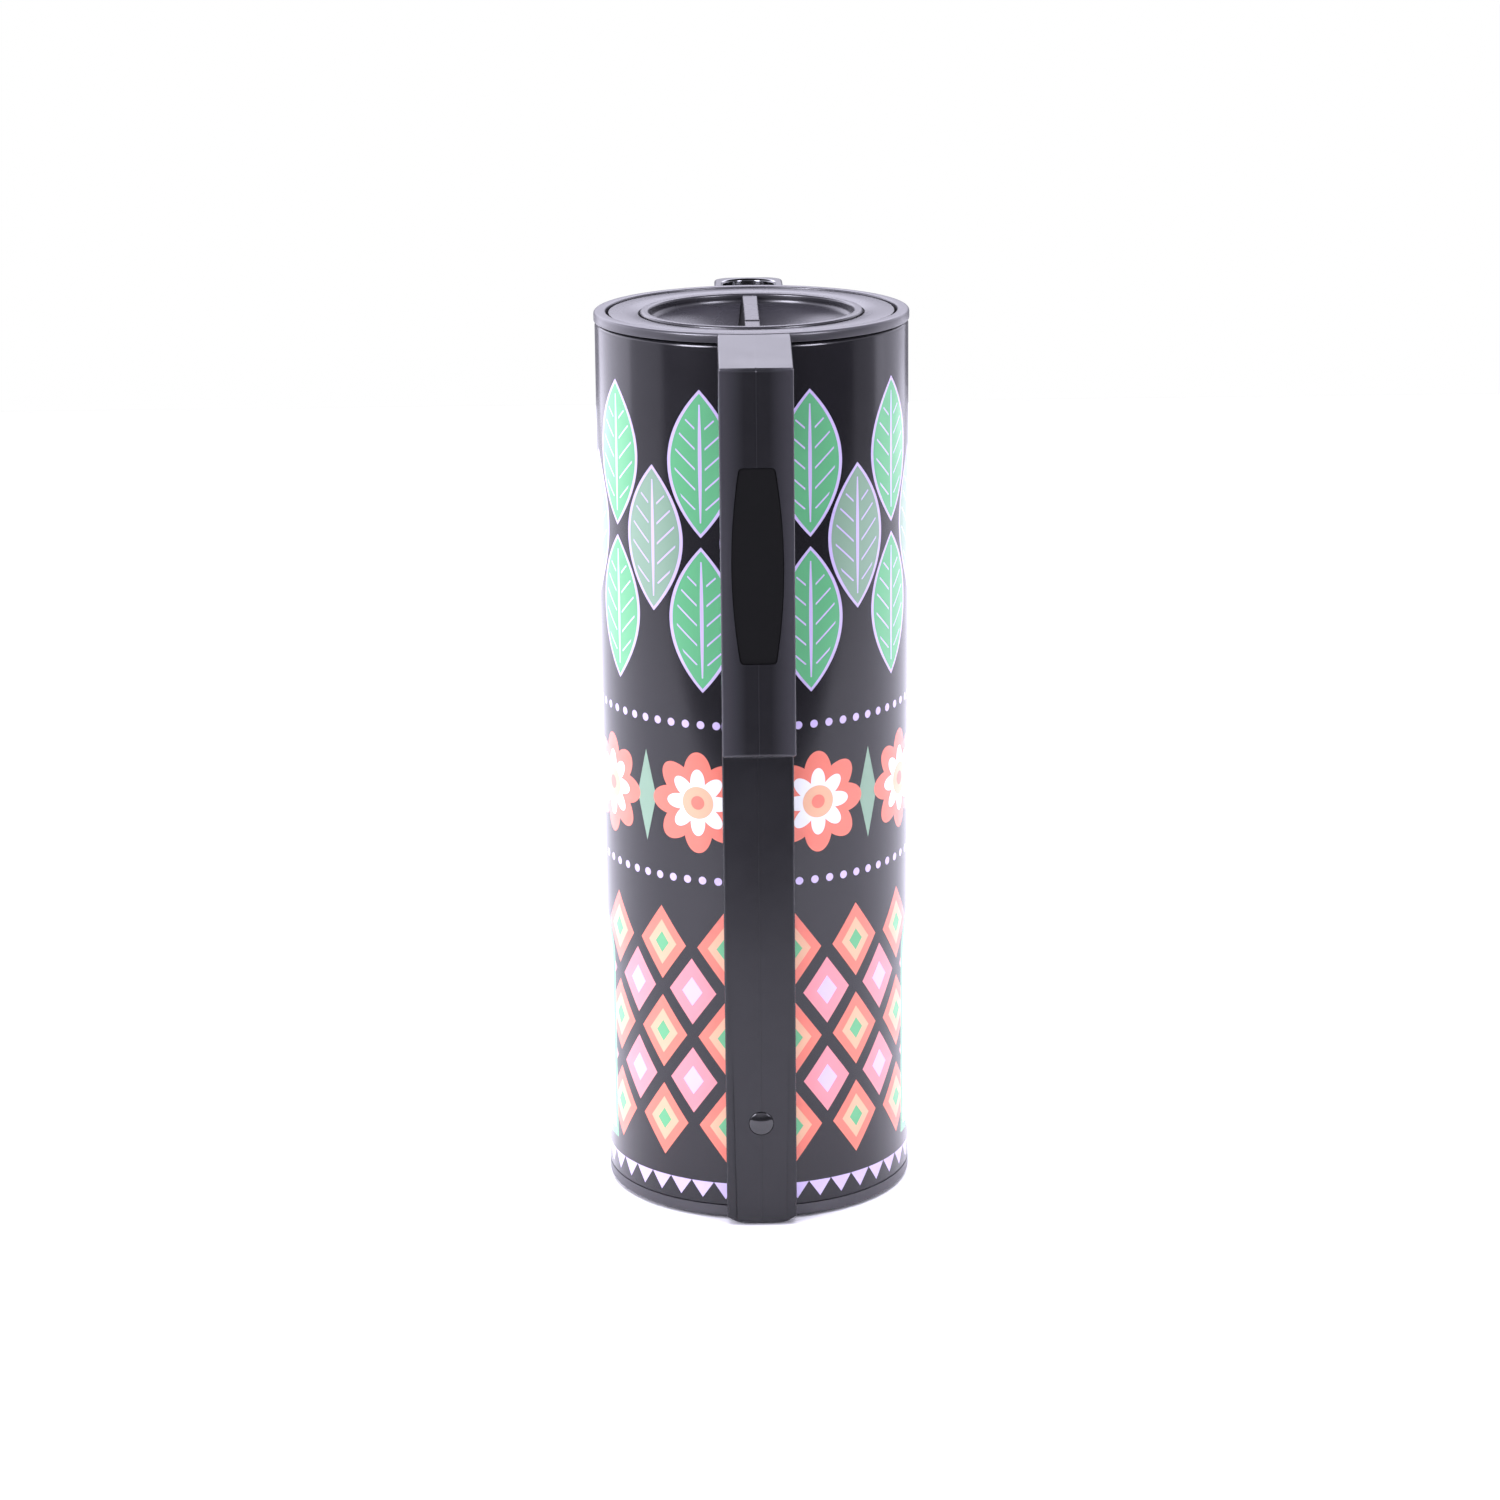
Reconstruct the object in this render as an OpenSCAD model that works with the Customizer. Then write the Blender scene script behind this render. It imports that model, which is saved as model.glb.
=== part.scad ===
// Pump pot: a vacuum flask in a printed shell, with a lift-out air pump, a side handle and a spout.
// Millimetres, +Z up. The origin is on the floor under the middle of the base.
// The handle is at -Y and the spout at +Y.

/* [Pot] */
// Height from the floor to the top of the rim ring
pot_h = 385; // [365:1:430]
// Outer diameter of the shell
shell_d = 132.7; // [126:0.1:150]
// Wall of the shell
shell_t = 2; // [1.4:0.1:2.4]
// Rounding of the shell's upper edge
shell_edge_r = 1.2; // [0.4:0.1:1.3]
// Height of the base cap's rim above the floor
base_h = 6.1; // [5.6:0.1:9]
// Height of the base cap's spigot inside the shell
spigot_h = 15; // [8:0.5:25]
// Wall of the base cap's spigot
spigot_t = 3; // [2:0.1:4]
// Thickness of the base cap's floor
base_floor_t = 4.2; // [3:0.1:4.6]
// Inset of the ring-shaped foot pad from the side of the pot
pad_inset = 8; // [6:0.5:14]
// Width of the foot pad
pad_w = 14; // [8:0.5:20]
// Thickness of the foot pad
pad_t = 2; // [1.6:0.1:2.4]
// How far the foot pad stands below the base cap
pad_proud = 0.8; // [0.5:0.1:1.2]

/* [Rim ring] */
// How far the ring stands out beyond the shell
ring_overhang = 0.4; // [0.3:0.05:1.5]
// Height of the ring
ring_h = 4.6; // [4.2:0.1:8]
// Width of the ring's top
ring_w = 5.05; // [4.2:0.05:7]
// Rounding of the ring's outer upper edge
ring_edge_r = 2; // [0.8:0.1:2.4]
// Dark seam between the shell and the ring
ring_seam = 0.3; // [0.2:0.05:0.6]

/* [Press plate] */
// Running gap between the plate and the ring
plate_gap = 1.1; // [0.6:0.05:1.6]
// How far the plate's edge lies below the top of the ring
plate_drop = 0.4; // [0.2:0.05:1]
// Width of the plate's flat around the grip bowl
plate_flat_w = 13.6; // [12.4:0.1:16]
// How far the plate dips towards the bowl
plate_dip = 1.2; // [0.4:0.1:1.6]
// Thickness of the plate
plate_t = 2.4; // [1.8:0.1:2.8]
// Height of the plate's outer rim
plate_rim_h = 6; // [4.5:0.1:8]
// Stroke of the pump
press_travel = 15; // [10:0.5:17]

/* [Grip bowl] */
// Depth of the bowl
bowl_depth = 13; // [11.5:0.5:15]
// Wall of the bowl
bowl_t = 2; // [1.6:0.1:2.2]
// Width of the flat in the middle of the bowl's dish
dish_flat_d = 34; // [30:1:40]
// How far the outer edge of the dish lies under the bowl's lip
dish_drop = 4.2; // [4:0.1:6]
// Rounding between the dish and the bowl's side
bowl_corner_r = 2.5; // [1.5:0.1:3]
// Width of the bowl's lip
lip_w = 3.5; // [3:0.1:4.5]
// Width of the cross bar at its top
bar_w = 6.2; // [5:0.1:9]
// Draft of the cross bar, each side
bar_draft = 1; // [0.2:0.1:1.5]
// How far the bar's top lies under the bowl's lip
bar_drop = 0.6; // [0.3:0.1:2]
// Width of the ledge along the bar's left side
bar_ledge_w = 1.2; // [0.6:0.1:1.6]
// How far the ledge lies below the bar's top
bar_ledge_drop = 2; // [1:0.1:4]
// Distance of the bar's crease from the middle, towards the handle
crease_y = 23.5; // [12:0.5:30]
// Depth of the bar's crease
crease_depth = 0.5; // [0.2:0.1:1]

/* [Handle] */
// Width of the handle
handle_w = 30; // [24:0.5:36]
// How far the grip's outer face stands out from the shell
handle_reach = 47.6; // [42:0.1:60]
// Thickness of the grip
grip_t = 17; // [13:0.5:20]
// Height of the loop at its outer face
loop_h = 159.5; // [140:0.5:190]
// Height of the upper arm at the grip
upper_arm_t = 24; // [20:0.5:32]
// Height of the lower arm at the grip
lower_arm_t = 22; // [16:0.5:30]
// Rounding of the finger opening's outer corners
loop_corner_r = 10; // [5:0.5:14]
// Rounding of the loop's outer corners
handle_edge_r = 2.5; // [1.2:0.1:3.5]
// How far the upper arm's top falls towards the grip
arm_fall = 5.1; // [1:0.1:7]
// How far the strip below the loop stands out from the shell
strip_proud = 6.4; // [5.8:0.1:10]
// Height of the strip's lower end above the floor
strip_z = 1.2; // [0.5:0.1:3]
// Height of the inlay in the grip
inlay_h = 80.5; // [60:0.5:100]
// Width of the inlay at its middle
inlay_w = 21; // [16:0.5:23]
// Width of the inlay at its ends
inlay_end_w = 14.4; // [10:0.2:15.6]
// Depth of the inlay's face under the grip's face
inlay_recess = 0.8; // [0.4:0.1:1.5]
// Thickness of the inlay
inlay_t = 1.2; // [0.8:0.1:2]
// Height of the handle's lower screw above the floor
screw_z = 46.5; // [36:0.5:54]
// Diameter of the cap over the lower screw
cap_d = 10.3; // [9.4:0.1:12]
// How far the screw cap's dome stands out from the strip
cap_dome = 1.2; // [0.6:0.1:2]

/* [Spout] */
// Width of the spout at its top
spout_w = 30.3; // [26:0.1:36]
// How far the spout's tip stands out from the shell
spout_reach = 30; // [26:0.5:38]
// How far the spout's top lies below the top of the ring
spout_drop = 1.1; // [0.5:0.1:4]
// Size of the spout's foot as a share of its top
spout_taper = 0.84; // [0.75:0.01:0.98]
// Wall of the spout
spout_t = 1.6; // [1.2:0.1:2.2]
// Thickness of the spout's back wall
spout_back_t = 4.1; // [3.6:0.1:5]
// Bore of the nozzle
nozzle_bore_d = 8; // [6:0.2:9]
// Length of the nozzle below the spout
nozzle_l = 9; // [5:0.5:14]

/* [Vacuum liner] */
// Air gap between the shell and the liner
liner_gap = 4; // [3.6:0.1:5]
// Wall of the glass
glass_t = 1.4; // [1.1:0.1:2]
// Vacuum gap between the two glass walls
vacuum_gap = 3.2; // [2.6:0.1:4]
// Bore of the liner's neck
neck_d = 61; // [60.4:0.2:64]
// Length of the liner's straight neck
neck_l = 15; // [10:0.5:25]
// Rounding of the liner's foot
liner_corner_r = 34; // [26:1:34]
// Thickness of the rubber cushion under the liner
cushion_h = 8; // [7:0.5:12]
// Height of the foam spacer's lower edge above the floor
spacer_z = 62; // [58:1:90]
// Height of the foam spacer
spacer_h = 10; // [6:1:20]
// Thickness of the neck gasket
gasket_t = 2.5; // [1.5:0.1:3.5]

/* [Air pump] */
// Outer diameter of the riser tube
riser_d = 8; // [7:0.1:8.2]
// Bore of the riser tube
riser_bore_d = 5.6; // [4.6:0.1:6]
// Outer diameter of the outlet pipe
pipe_d = 9; // [8.6:0.1:9.4]
// Bore of the outlet pipe
pipe_bore_d = 6; // [5:0.1:6.6]
// Outer diameter of the plate's stem
stem_d = 10; // [9:0.2:11]
// Length of the guide bush
bush_l = 11.5; // [9:0.5:14]
// Mean diameter of the return spring
spring_d = 24; // [22.6:0.1:26]
// Diameter of the return spring's wire
wire_d = 1.8; // [1.2:0.1:2.2]
// Number of turns of the return spring
spring_turns = 7; // [5:1:9]
// Number of folds of the bellows
bellows_folds = 4; // [3:1:5]
// Depth of a bellows fold
fold_depth = 10; // [6:0.5:11]
// Wall of the bellows
bellows_t = 1.3; // [1:0.1:1.6]
// Diameter of the foot valve's ball
ball_d = 6.4; // [6:0.1:6.8]
// Lift of the foot valve's ball
ball_lift = 4; // [2.5:0.5:5]

/* [Fits] */
// Gap around fixed pieces that are put together by hand
fit_gap = 0.3; // [0.2:0.05:0.4]
// Running clearance of a shaft in its bore, on the radius
run_gap = 0.06; // [0.03:0.01:0.1]
// Clearance of a glued or pressed piece, on the radius
seat_gap = 0.05; // [0.02:0.01:0.1]

/* [Hidden] */
$fn = 96;
arc_n = 10;
over = 1;   // overrun of a cut past the face that it opens
arc_over = 1;   // overrun of an arc past the face that trims it, in degrees

// Shell, base and rim ring
shell_r = shell_d / 2;
shell_ri = shell_r - shell_t;
cap_z = pad_proud;
cap_edge_r = 1.5;
cap_floor_z = cap_z + base_floor_t;
shell_z = base_h + ring_seam;
ring_r = shell_r + ring_overhang;
ring_z = pot_h - ring_h;
shell_top = ring_z - ring_seam;
well_r = ring_r - ring_w;
ring_inner_edge_r = 0.6;
spigot_r = shell_ri - fit_gap;
pad_r = shell_r - pad_inset;

// Base plug and liner cushion
plug_r = 24;
plug_boss_t = 4;
plug_boss_h = 9;
plug_boss_z = cap_floor_z + plug_boss_h;
plug_flange_t = 2;
plug_top = plug_boss_z + plug_flange_t;
plug_wall = 4;
plug_recess = 0.4;
plug_z = cap_z + plug_recess;
plug_rib_t = 4;
cushion_r = 25;
cushion_hole_r = 5;
liner_z = plug_top + cushion_h;

// Heights of the pump, from the top down
plate_top = pot_h - plate_drop;
plate_r = well_r - plate_gap;
plate_edge_r = 0.8;
plate_rim_t = 2;
lip_r = plate_r - plate_flat_w;
lip_top = pot_h;
lip_edge_r = 1.4;
lip_h = 2.4;
bowl_r = lip_r - lip_w;
bowl_z = lip_top - bowl_depth;
bowl_under = bowl_z - bowl_t;
dish_flat_r = dish_flat_d / 2;
dish_slope = atan((bowl_depth - dish_drop) / (bowl_r - dish_flat_r));
dish_under_r = dish_flat_r + bowl_t * tan(dish_slope / 2);
bowl_corner = [bowl_r - bowl_corner_r, dish_z(bowl_r - bowl_corner_r) + bowl_corner_r / cos(dish_slope)];
shutter_t = 1.5;
shutter_r = 28;
cup_z = bowl_under - shutter_t - fit_gap;
cup_t = 2.5;
cup_under = cup_z - cup_t;
bellows_closed = 9.2;
bellows_rest = press_travel + bellows_closed;
deck_top = cup_under - bellows_rest;
deck_t = 3;
deck_z = deck_top - deck_t;
pipe_r = pipe_d / 2;
pipe_room = 0.5;
collar_floor_top = deck_z - pipe_d - 2 * pipe_room;
collar_floor_t = 3.5;
collar_z = collar_floor_top - collar_floor_t;
liner_top = collar_z - gasket_t;
rim_t = 2.5;

// Press plate's cup, which carries the bowl
valley_z = plate_top - plate_dip;
groove_gap = 0.8;
groove_r = lip_r + groove_gap;
groove_depth = 1;
groove_z = lip_top - lip_h - groove_depth;
cup_gap = 0.35;
cup_ri = bowl_r + bowl_t + cup_gap;
cup_straight = 1;
cup_inner_arc = groove_z - cup_straight - cup_z;
cup_flat_r = cup_ri - cup_inner_arc;
cup_wall = 1.45;
cup_outer_arc = cup_inner_arc + cup_wall;
air_hole_r = 2;
air_hole_ring = 20;
air_hole_angles = [35, 145, 215, 325];

// Stem, guide and return spring
stem_r = stem_d / 2;
bush_t = 2;
bush_r = stem_r + bush_t;
bush_flange_t = 1;
bush_z = deck_top - bush_l;
guide_t = 2;
guide_r = bush_r + guide_t;
stop_gap = 0.2;
clip_t = 1.2;
clip_groove_depth = 1;
clip_groove_r = stem_r - clip_groove_depth;
clip_gap = 0.4;
clip_r = bush_r - clip_gap;
clip_z = bush_z - stop_gap - clip_t;
stem_tip = 1.2;
stem_z = clip_z - stem_tip;
well_clear = 4.4;
spring_well_z = stem_z - press_travel - well_clear;
spring_well_t = 1.5;
spring_well_r = 15.5;
spring_z = spring_well_z + seat_gap;
spring_l = cup_under - seat_gap - spring_z;
spring_sides = 6;
spring_steps = 16;
pivot_r = 2.5;
pivot_head_r = 5;
pivot_head_t = 2.6;
pivot_l = 20;
pivot_arch_gap = 1.4;
pivot_arch_r = pivot_head_r + pivot_arch_gap;
pivot_arch_h = pivot_head_t + 2 * pivot_arch_gap;

// Pump housing, outlet pipe and riser
housing_gap = 3.7;
housing_r = well_r - housing_gap;
housing_t = 2;
housing_up = 7.5;
neck_r = neck_d / 2;
stopper_gap = 1.2;
stopper_r = neck_r - stopper_gap;
stopper_t = 1.8;
stopper_l = collar_floor_top - liner_top + rim_t;
opening_gap = 0.5;
opening_r = neck_r + opening_gap;
branch_step = 0.2;
branch_r = pipe_r - branch_step;
pipe_bore_r = pipe_bore_d / 2;
branch_bore_r = pipe_bore_r - branch_step / 2;
pipe_z = collar_floor_top + pipe_room + pipe_r;
pipe_y = housing_r - housing_t - pipe_room - pipe_r;
outlet_z = deck_top + housing_up + pipe_room + pipe_r;
port_gap = 0.35;
port_seal_t = 1.15;
pipe_end = well_r - port_gap - port_seal_t;
port_seal_r = branch_r;
riser_r = riser_d / 2;
socket_t = 0.85;
socket_r = riser_r + seat_gap + socket_t;
riser_y = (spring_well_r + spring_well_t + stopper_r - stopper_t) / 2;
socket_rise = 6;
socket_z = spring_well_z + socket_rise;
socket_l = 14;
pipe_hole_gap = 0.25;

// Glass liner
liner_r = shell_ri - liner_gap;
inner_glass_r = liner_r - glass_t - vacuum_gap;
inner_glass_z = liner_z + glass_t + vacuum_gap;
inner_corner_r = liner_corner_r - glass_t - vacuum_gap;
neck_gap = 0.9;
inner_neck_r = neck_r + glass_t;
outer_neck_r = inner_neck_r + neck_gap + glass_t;
neck_z = liner_top - rim_t;
inner_neck_l = neck_l + 2 * vacuum_gap;
shoulder_angle = 60;
tip_r = 3;
tip_l = 5;
liner_floor = inner_glass_z + glass_t;

// Foot valve at the riser's lower end
valve_r = 6;
valve_clear = 2.5;
valve_z = liner_floor + valve_clear;
seat_t = 3;
seat_r = 2.2;
ball_r = ball_d / 2;
ball_room = 1.2;
ball_rise = sqrt(ball_r * ball_r - seat_r * seat_r) + seat_gap;
chamber_clear = 0.5;
chamber_h = ball_rise + ball_r + ball_lift + chamber_clear;
shelf_t = 1.5;
shelf_r = 2.6;
riser_z = valve_z + seat_t + chamber_h + shelf_t;
valve_socket_l = 8;

// Bellows and its two clamping rings
bellows_ri = 31;
clamp_r = bellows_ri - bellows_t - fit_gap;
clamp_w = 3.6;
clamp_h = 2.4;
flap_t = 1.2;
flap_hold = 1;
flap_r = clamp_r - clamp_w + flap_hold;
flap_gap = 1.2;
flap_ri = spring_d / 2 + wire_d / 2 + flap_gap;

// Handle
grip_y = shell_r + handle_reach;
grip_inner_y = grip_y - grip_t;
arm_drop = 0.7;
arm_top = pot_h - arm_drop;
loop_top = arm_top - arm_fall;
loop_z = loop_top - loop_h;
arm_under = loop_top - upper_arm_t;
lower_arm_top = loop_z + lower_arm_t;
lower_arm_slope = 4;
lower_arm_root = loop_z - lower_arm_slope;
lower_fillet_r = 8;
strip_y = shell_r + strip_proud;
strip_top = lower_arm_top - lower_fillet_r;
strip_cut_w = 4.6;
strip_cut_h = 2.2;
handle_depth = 6;
handle_root = shell_r - handle_depth;
inlay_z = loop_z + loop_h / 2;
inlay_half = inlay_h / 2;
inlay_bulge = (inlay_w - inlay_end_w) / 2;
inlay_arc_r = (inlay_half * inlay_half + inlay_bulge * inlay_bulge) / (2 * inlay_bulge);

// Handle and spout fasteners
screw_r = 2.5;
screw_hole_r = screw_r + fit_gap;
screw_head_r = 4.3;
screw_head_t = 2.6;
cap_r = cap_d / 2;
cap_plug_t = 2.2;
counterbore = cap_plug_t + fit_gap + screw_head_t;
cap_sphere_r = (cap_r * cap_r + cap_dome * cap_dome) / (2 * cap_dome);
insert_r = 6;
insert_tip = liner_r + 2 * fit_gap;
side_screw_r = 1.9;
side_screw_head_r = 3.4;
side_screw_angle = 7.3;
side_screw_drop = 11.3;
side_screw_z = ring_z - side_screw_drop;
side_screw_inset = 0.2;
side_screw_start = well_r + side_screw_inset;
side_screw_head_t = 1.5;
arm_screw_depth = 14;
arm_screw_end = shell_r + arm_screw_depth;
spout_screw_depth = 2.6;
spout_screw_end = shell_r + spout_screw_depth;

// Spout
spout_top = pot_h - spout_drop;
spout_floor_gap = 0.8;
spout_floor = outlet_z - pipe_bore_r - spout_floor_gap;
spout_floor_t = 3;
spout_z = spout_floor - spout_floor_t;
spout_end_r = spout_w / 2;
spout_ring_gap = 0.25;
inlet_r = 6;
inlet_inset = 0.25;
inlet_end = well_r + inlet_inset;
spout_seal_r = 9;
spout_seal_t = 1;
nozzle_t = 2.2;
nozzle_r = nozzle_bore_d / 2 + nozzle_t;
nozzle_y = shell_r + spout_taper * (spout_reach - spout_end_r);
funnel_w = 3.6;
funnel_r = nozzle_bore_d / 2 + funnel_w;

// Points of an arc about c, from angle a0 to a1
function arc(c, r, a0, a1, n = arc_n) =
    [for (i = [0:n]) let (a = a0 + (a1 - a0) * i / n) c + r * [cos(a), sin(a)]];

// Half outline of a bottle, from the middle of its foot to its mouth
function bottle(r, z, corner, mouth_r, mouth_l, top) =
    let (s = (r - mouth_r) / (2 * (1 - cos(shoulder_angle))),
         mouth_z = top - mouth_l,
         shoulder_z = mouth_z - 2 * s * sin(shoulder_angle))
    concat([[0, z]], arc([r - corner, z + corner], corner, -90, 0),
           arc([r - s, shoulder_z], s, 0, shoulder_angle),
           arc([mouth_r + s, mouth_z], s, 180 + shoulder_angle, 180), [[mouth_r, top]]);

// Half outline with the second outline as its inner wall
function walled(outer, inner) = concat(outer, [for (i = [len(inner) - 1:-1:0]) inner[i]]);

// A tube about the Z axis
module tube(r0, r1, z0, z1) {
    translate([0, 0, z0])
        difference() {
            cylinder(r = r1, h = z1 - z0);
            translate([0, 0, -over]) cylinder(r = r0, h = z1 - z0 + 2 * over);
        }
}

// A cylinder along +Y from y0 to y1
module along_y(r, y0, y1) {
    translate([0, y0, 0]) rotate([-90, 0, 0]) cylinder(r = r, h = y1 - y0);
}

// Places its children on both fastener lines of the side facing turn
module both_side_screws(turn) {
    for (side = [-1, 1])
        rotate([0, 0, turn + side * side_screw_angle])
            translate([0, 0, side_screw_z]) children();
}

// Extrudes a side view, drawn as outward distance and height on the handle's side
module side_view(width) {
    rotate([90, 0, -90]) linear_extrude(height = width, center = true) children();
}

// A countersunk screw lying along +Y, with its head at start
module side_screw(end) {
    translate([0, side_screw_start, 0]) rotate([-90, 0, 0])
        cylinder(r1 = side_screw_head_r, r2 = side_screw_r, h = side_screw_head_t);
    along_y(side_screw_r, side_screw_start, end);
}

// The room that a side screw needs in the collar and the shell
module side_screw_room() {
    translate([0, side_screw_start - over, 0]) rotate([-90, 0, 0])
        cylinder(r1 = side_screw_head_r + over + seat_gap, r2 = side_screw_r + seat_gap,
                 h = side_screw_head_t + over);
    along_y(side_screw_r + fit_gap, side_screw_start, shell_r + over);
}

// The shell's outside and the ring's outside, with room, which the handle and spout fit against
module pot_outside(shell_gap, ring_gap) {
    translate([0, 0, -over]) cylinder(r = shell_r + shell_gap, h = shell_top + over);
    translate([0, 0, shell_top - over / 2])
        cylinder(r = ring_r + ring_gap, h = pot_h - shell_top + 2 * over);
}

module foot_pad() {
    color("#2a2a2c") tube(pad_r - pad_w, pad_r, 0, pad_t);
}

module base_cap() {
    color("#1c1c1e")
        rotate_extrude() polygon(concat(
            [[plug_r + seat_gap, cap_z], [pad_r - pad_w - seat_gap, cap_z],
             [pad_r - pad_w - seat_gap, pad_t], [pad_r + seat_gap, pad_t], [pad_r + seat_gap, cap_z]],
            arc([shell_r - cap_edge_r, cap_z + cap_edge_r], cap_edge_r, -90, 0),
            [[shell_r, base_h], [spigot_r, base_h], [spigot_r, base_h + spigot_h],
             [spigot_r - spigot_t, base_h + spigot_h], [spigot_r - spigot_t, cap_floor_z],
             [plug_r + plug_boss_t, cap_floor_z], [plug_r + plug_boss_t, plug_boss_z],
             [plug_r + seat_gap, plug_boss_z]]));
}

module base_plug() {
    color("#303034") {
        rotate_extrude() polygon([
            [plug_r - plug_wall, plug_z], [plug_r, plug_z], [plug_r, plug_boss_z],
            [plug_r + plug_boss_t, plug_boss_z], [plug_r + plug_boss_t, plug_top], [0, plug_top],
            [0, plug_boss_z - plug_flange_t], [plug_r - plug_wall, plug_boss_z - plug_flange_t]]);
        // Rib across the plug's hollow, for turning it
        translate([-plug_r + plug_wall / 2, -plug_rib_t / 2, plug_z])
            cube([2 * plug_r - plug_wall, plug_rib_t, plug_boss_z - plug_z]);
    }
}

module liner_cushion() {
    color("#3a3a3a") tube(cushion_hole_r, cushion_r, plug_top, liner_z);
}

module liner_spacer() {
    color("#d8d4c8") tube(liner_r + fit_gap, shell_ri - fit_gap, spacer_z, spacer_z + spacer_h);
}

module liner_outer_glass() {
    color("#c9d6d2", 0.6) {
        rotate_extrude() polygon(walled(
            bottle(liner_r, liner_z, liner_corner_r, outer_neck_r, neck_l, neck_z),
            bottle(liner_r - glass_t, liner_z + glass_t, liner_corner_r - glass_t,
                   outer_neck_r - glass_t, neck_l, neck_z)));
        // Sealed tip where the air was drawn out
        translate([0, 0, liner_z - tip_l])
            cylinder(r1 = tip_r / 2, r2 = tip_r, h = tip_l + glass_t / 2);
    }
}

module liner_inner_glass() {
    color("#dfe6e4", 0.6) {
        rotate_extrude() polygon(walled(
            bottle(inner_glass_r, inner_glass_z, inner_corner_r, inner_neck_r, inner_neck_l, liner_top),
            bottle(inner_glass_r - glass_t, liner_floor, inner_corner_r - glass_t, neck_r, inner_neck_l,
                   liner_top)));
        // Rim that closes the two walls at the mouth
        tube(inner_neck_r - glass_t / 2, outer_neck_r, neck_z, liner_top);
    }
}

module neck_gasket() {
    color("#e6e2da") tube(opening_r, outer_neck_r, liner_top, collar_z);
}

module neck_collar() {
    color("#242426")
        difference() {
            union() {
                tube(opening_r, spigot_r, collar_z, collar_floor_top);
                tube(well_r, spigot_r, collar_z, ring_z);
            }
            translate([0, 0, outlet_z]) along_y(inlet_r + fit_gap, 0, shell_r);
            both_side_screws(0) side_screw_room();
            both_side_screws(180) side_screw_room();
        }
}

module outer_shell() {
    color("#202022")
        difference() {
            rotate_extrude() polygon(concat(
                [[shell_ri, shell_z], [shell_r, shell_z]],
                arc([shell_r - shell_edge_r, shell_top - shell_edge_r], shell_edge_r, 0, 90),
                [[shell_ri, shell_top]]));
            translate([0, 0, outlet_z]) along_y(inlet_r + fit_gap, 0, shell_r + over);
            both_side_screws(0) along_y(side_screw_r + fit_gap, 0, shell_r + over);
            both_side_screws(180) along_y(side_screw_r + fit_gap, 0, shell_r + over);
            translate([0, 0, screw_z]) rotate([0, 0, 180]) along_y(screw_hole_r, 0, shell_r + over);
        }
}

module top_ring() {
    color("#2b2b2e")
        rotate_extrude() polygon(concat(
            [[well_r, ring_z], [ring_r, ring_z]],
            arc([ring_r - ring_edge_r, pot_h - ring_edge_r], ring_edge_r, 0, 90),
            arc([well_r + ring_inner_edge_r, pot_h - ring_inner_edge_r], ring_inner_edge_r, 90, 180)));
}

// Side view of the handle's loop, before the finger opening is cut
module loop_outline() {
    e = handle_edge_r;
    polygon(concat(
        [[handle_root, arm_top], [ring_r, arm_top]],
        arc([grip_y - e, loop_top - e], e, 90, 0),
        arc([grip_y - e, loop_z + e], e, 0, -90),
        arc([strip_y + lower_fillet_r - over / 2, lower_arm_root - lower_fillet_r], lower_fillet_r, 90, 180),
        [[handle_root, lower_arm_root - lower_fillet_r]]));
}

// Side view of the finger opening
module finger_outline() {
    r = loop_corner_r;
    polygon(concat(
        [[handle_root - over, arm_under]], arc([grip_inner_y - r, arm_under - r], r, 90, 0),
        arc([grip_inner_y - r, lower_arm_top + r], r, 0, -90), [[handle_root - over, lower_arm_top]]));
}

// Plan of a handle section whose outer face lies at reach from the pot's axis
module handle_plan(reach) {
    e = handle_edge_r;
    w = handle_w / 2;
    polygon(concat([[-w, -handle_root]], arc([-w + e, -reach + e], e, 180, 270),
                   arc([w - e, -reach + e], e, 270, 360), [[w, -handle_root]]));
}

// Barrel-shaped outline of the inlay, grown by gap
module inlay_outline(gap) {
    a = asin(inlay_half / inlay_arc_r);
    r = inlay_arc_r + gap;
    h = inlay_half + gap;
    c = inlay_arc_r - inlay_w / 2;
    intersection() {
        polygon(concat(arc([-c, 0], r, -a - arc_over, a + arc_over),
                       arc([c, 0], r, 180 - a - arc_over, 180 + a + arc_over)));
        translate([-inlay_w, -h]) square([2 * inlay_w, 2 * h]);
    }
}

// A slab of the inlay's outline, thick towards the grip's face from depth behind it
module inlay_slab(gap, depth, thick) {
    translate([0, depth - grip_y, inlay_z]) rotate([90, 0, 0])
        linear_extrude(height = thick) inlay_outline(gap);
}

module handle() {
    w = handle_w / 2;
    color("#262628")
        difference() {
            union() {
                intersection() {
                    side_view(handle_w) difference() {
                        loop_outline();
                        finger_outline();
                    }
                    translate([0, 0, strip_z]) linear_extrude(height = pot_h) handle_plan(grip_y);
                }
                translate([0, 0, strip_z])
                    linear_extrude(height = strip_top - strip_z) handle_plan(strip_y);
            }
            pot_outside(2 * seat_gap, 2 * seat_gap);
            inlay_slab(seat_gap * 2, inlay_recess + inlay_t, grip_t);
            // Cut corners at the strip's lower end
            for (side = [-1, 1])
                scale([side, 1, 1]) rotate([90, 0, 0]) linear_extrude(height = grip_y)
                    polygon([[w - strip_cut_w, strip_z - over], [w + over, strip_z - over],
                             [w + over, strip_z + strip_cut_h], [w, strip_z + strip_cut_h],
                             [w - strip_cut_w, strip_z]]);
            translate([0, 0, screw_z]) rotate([0, 0, 180]) {
                along_y(screw_hole_r, 0, strip_y);
                along_y(cap_r + seat_gap, strip_y - counterbore, strip_y + over);
            }
            both_side_screws(180) along_y(side_screw_r + seat_gap, 0, arm_screw_end + fit_gap);
        }
}

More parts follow.
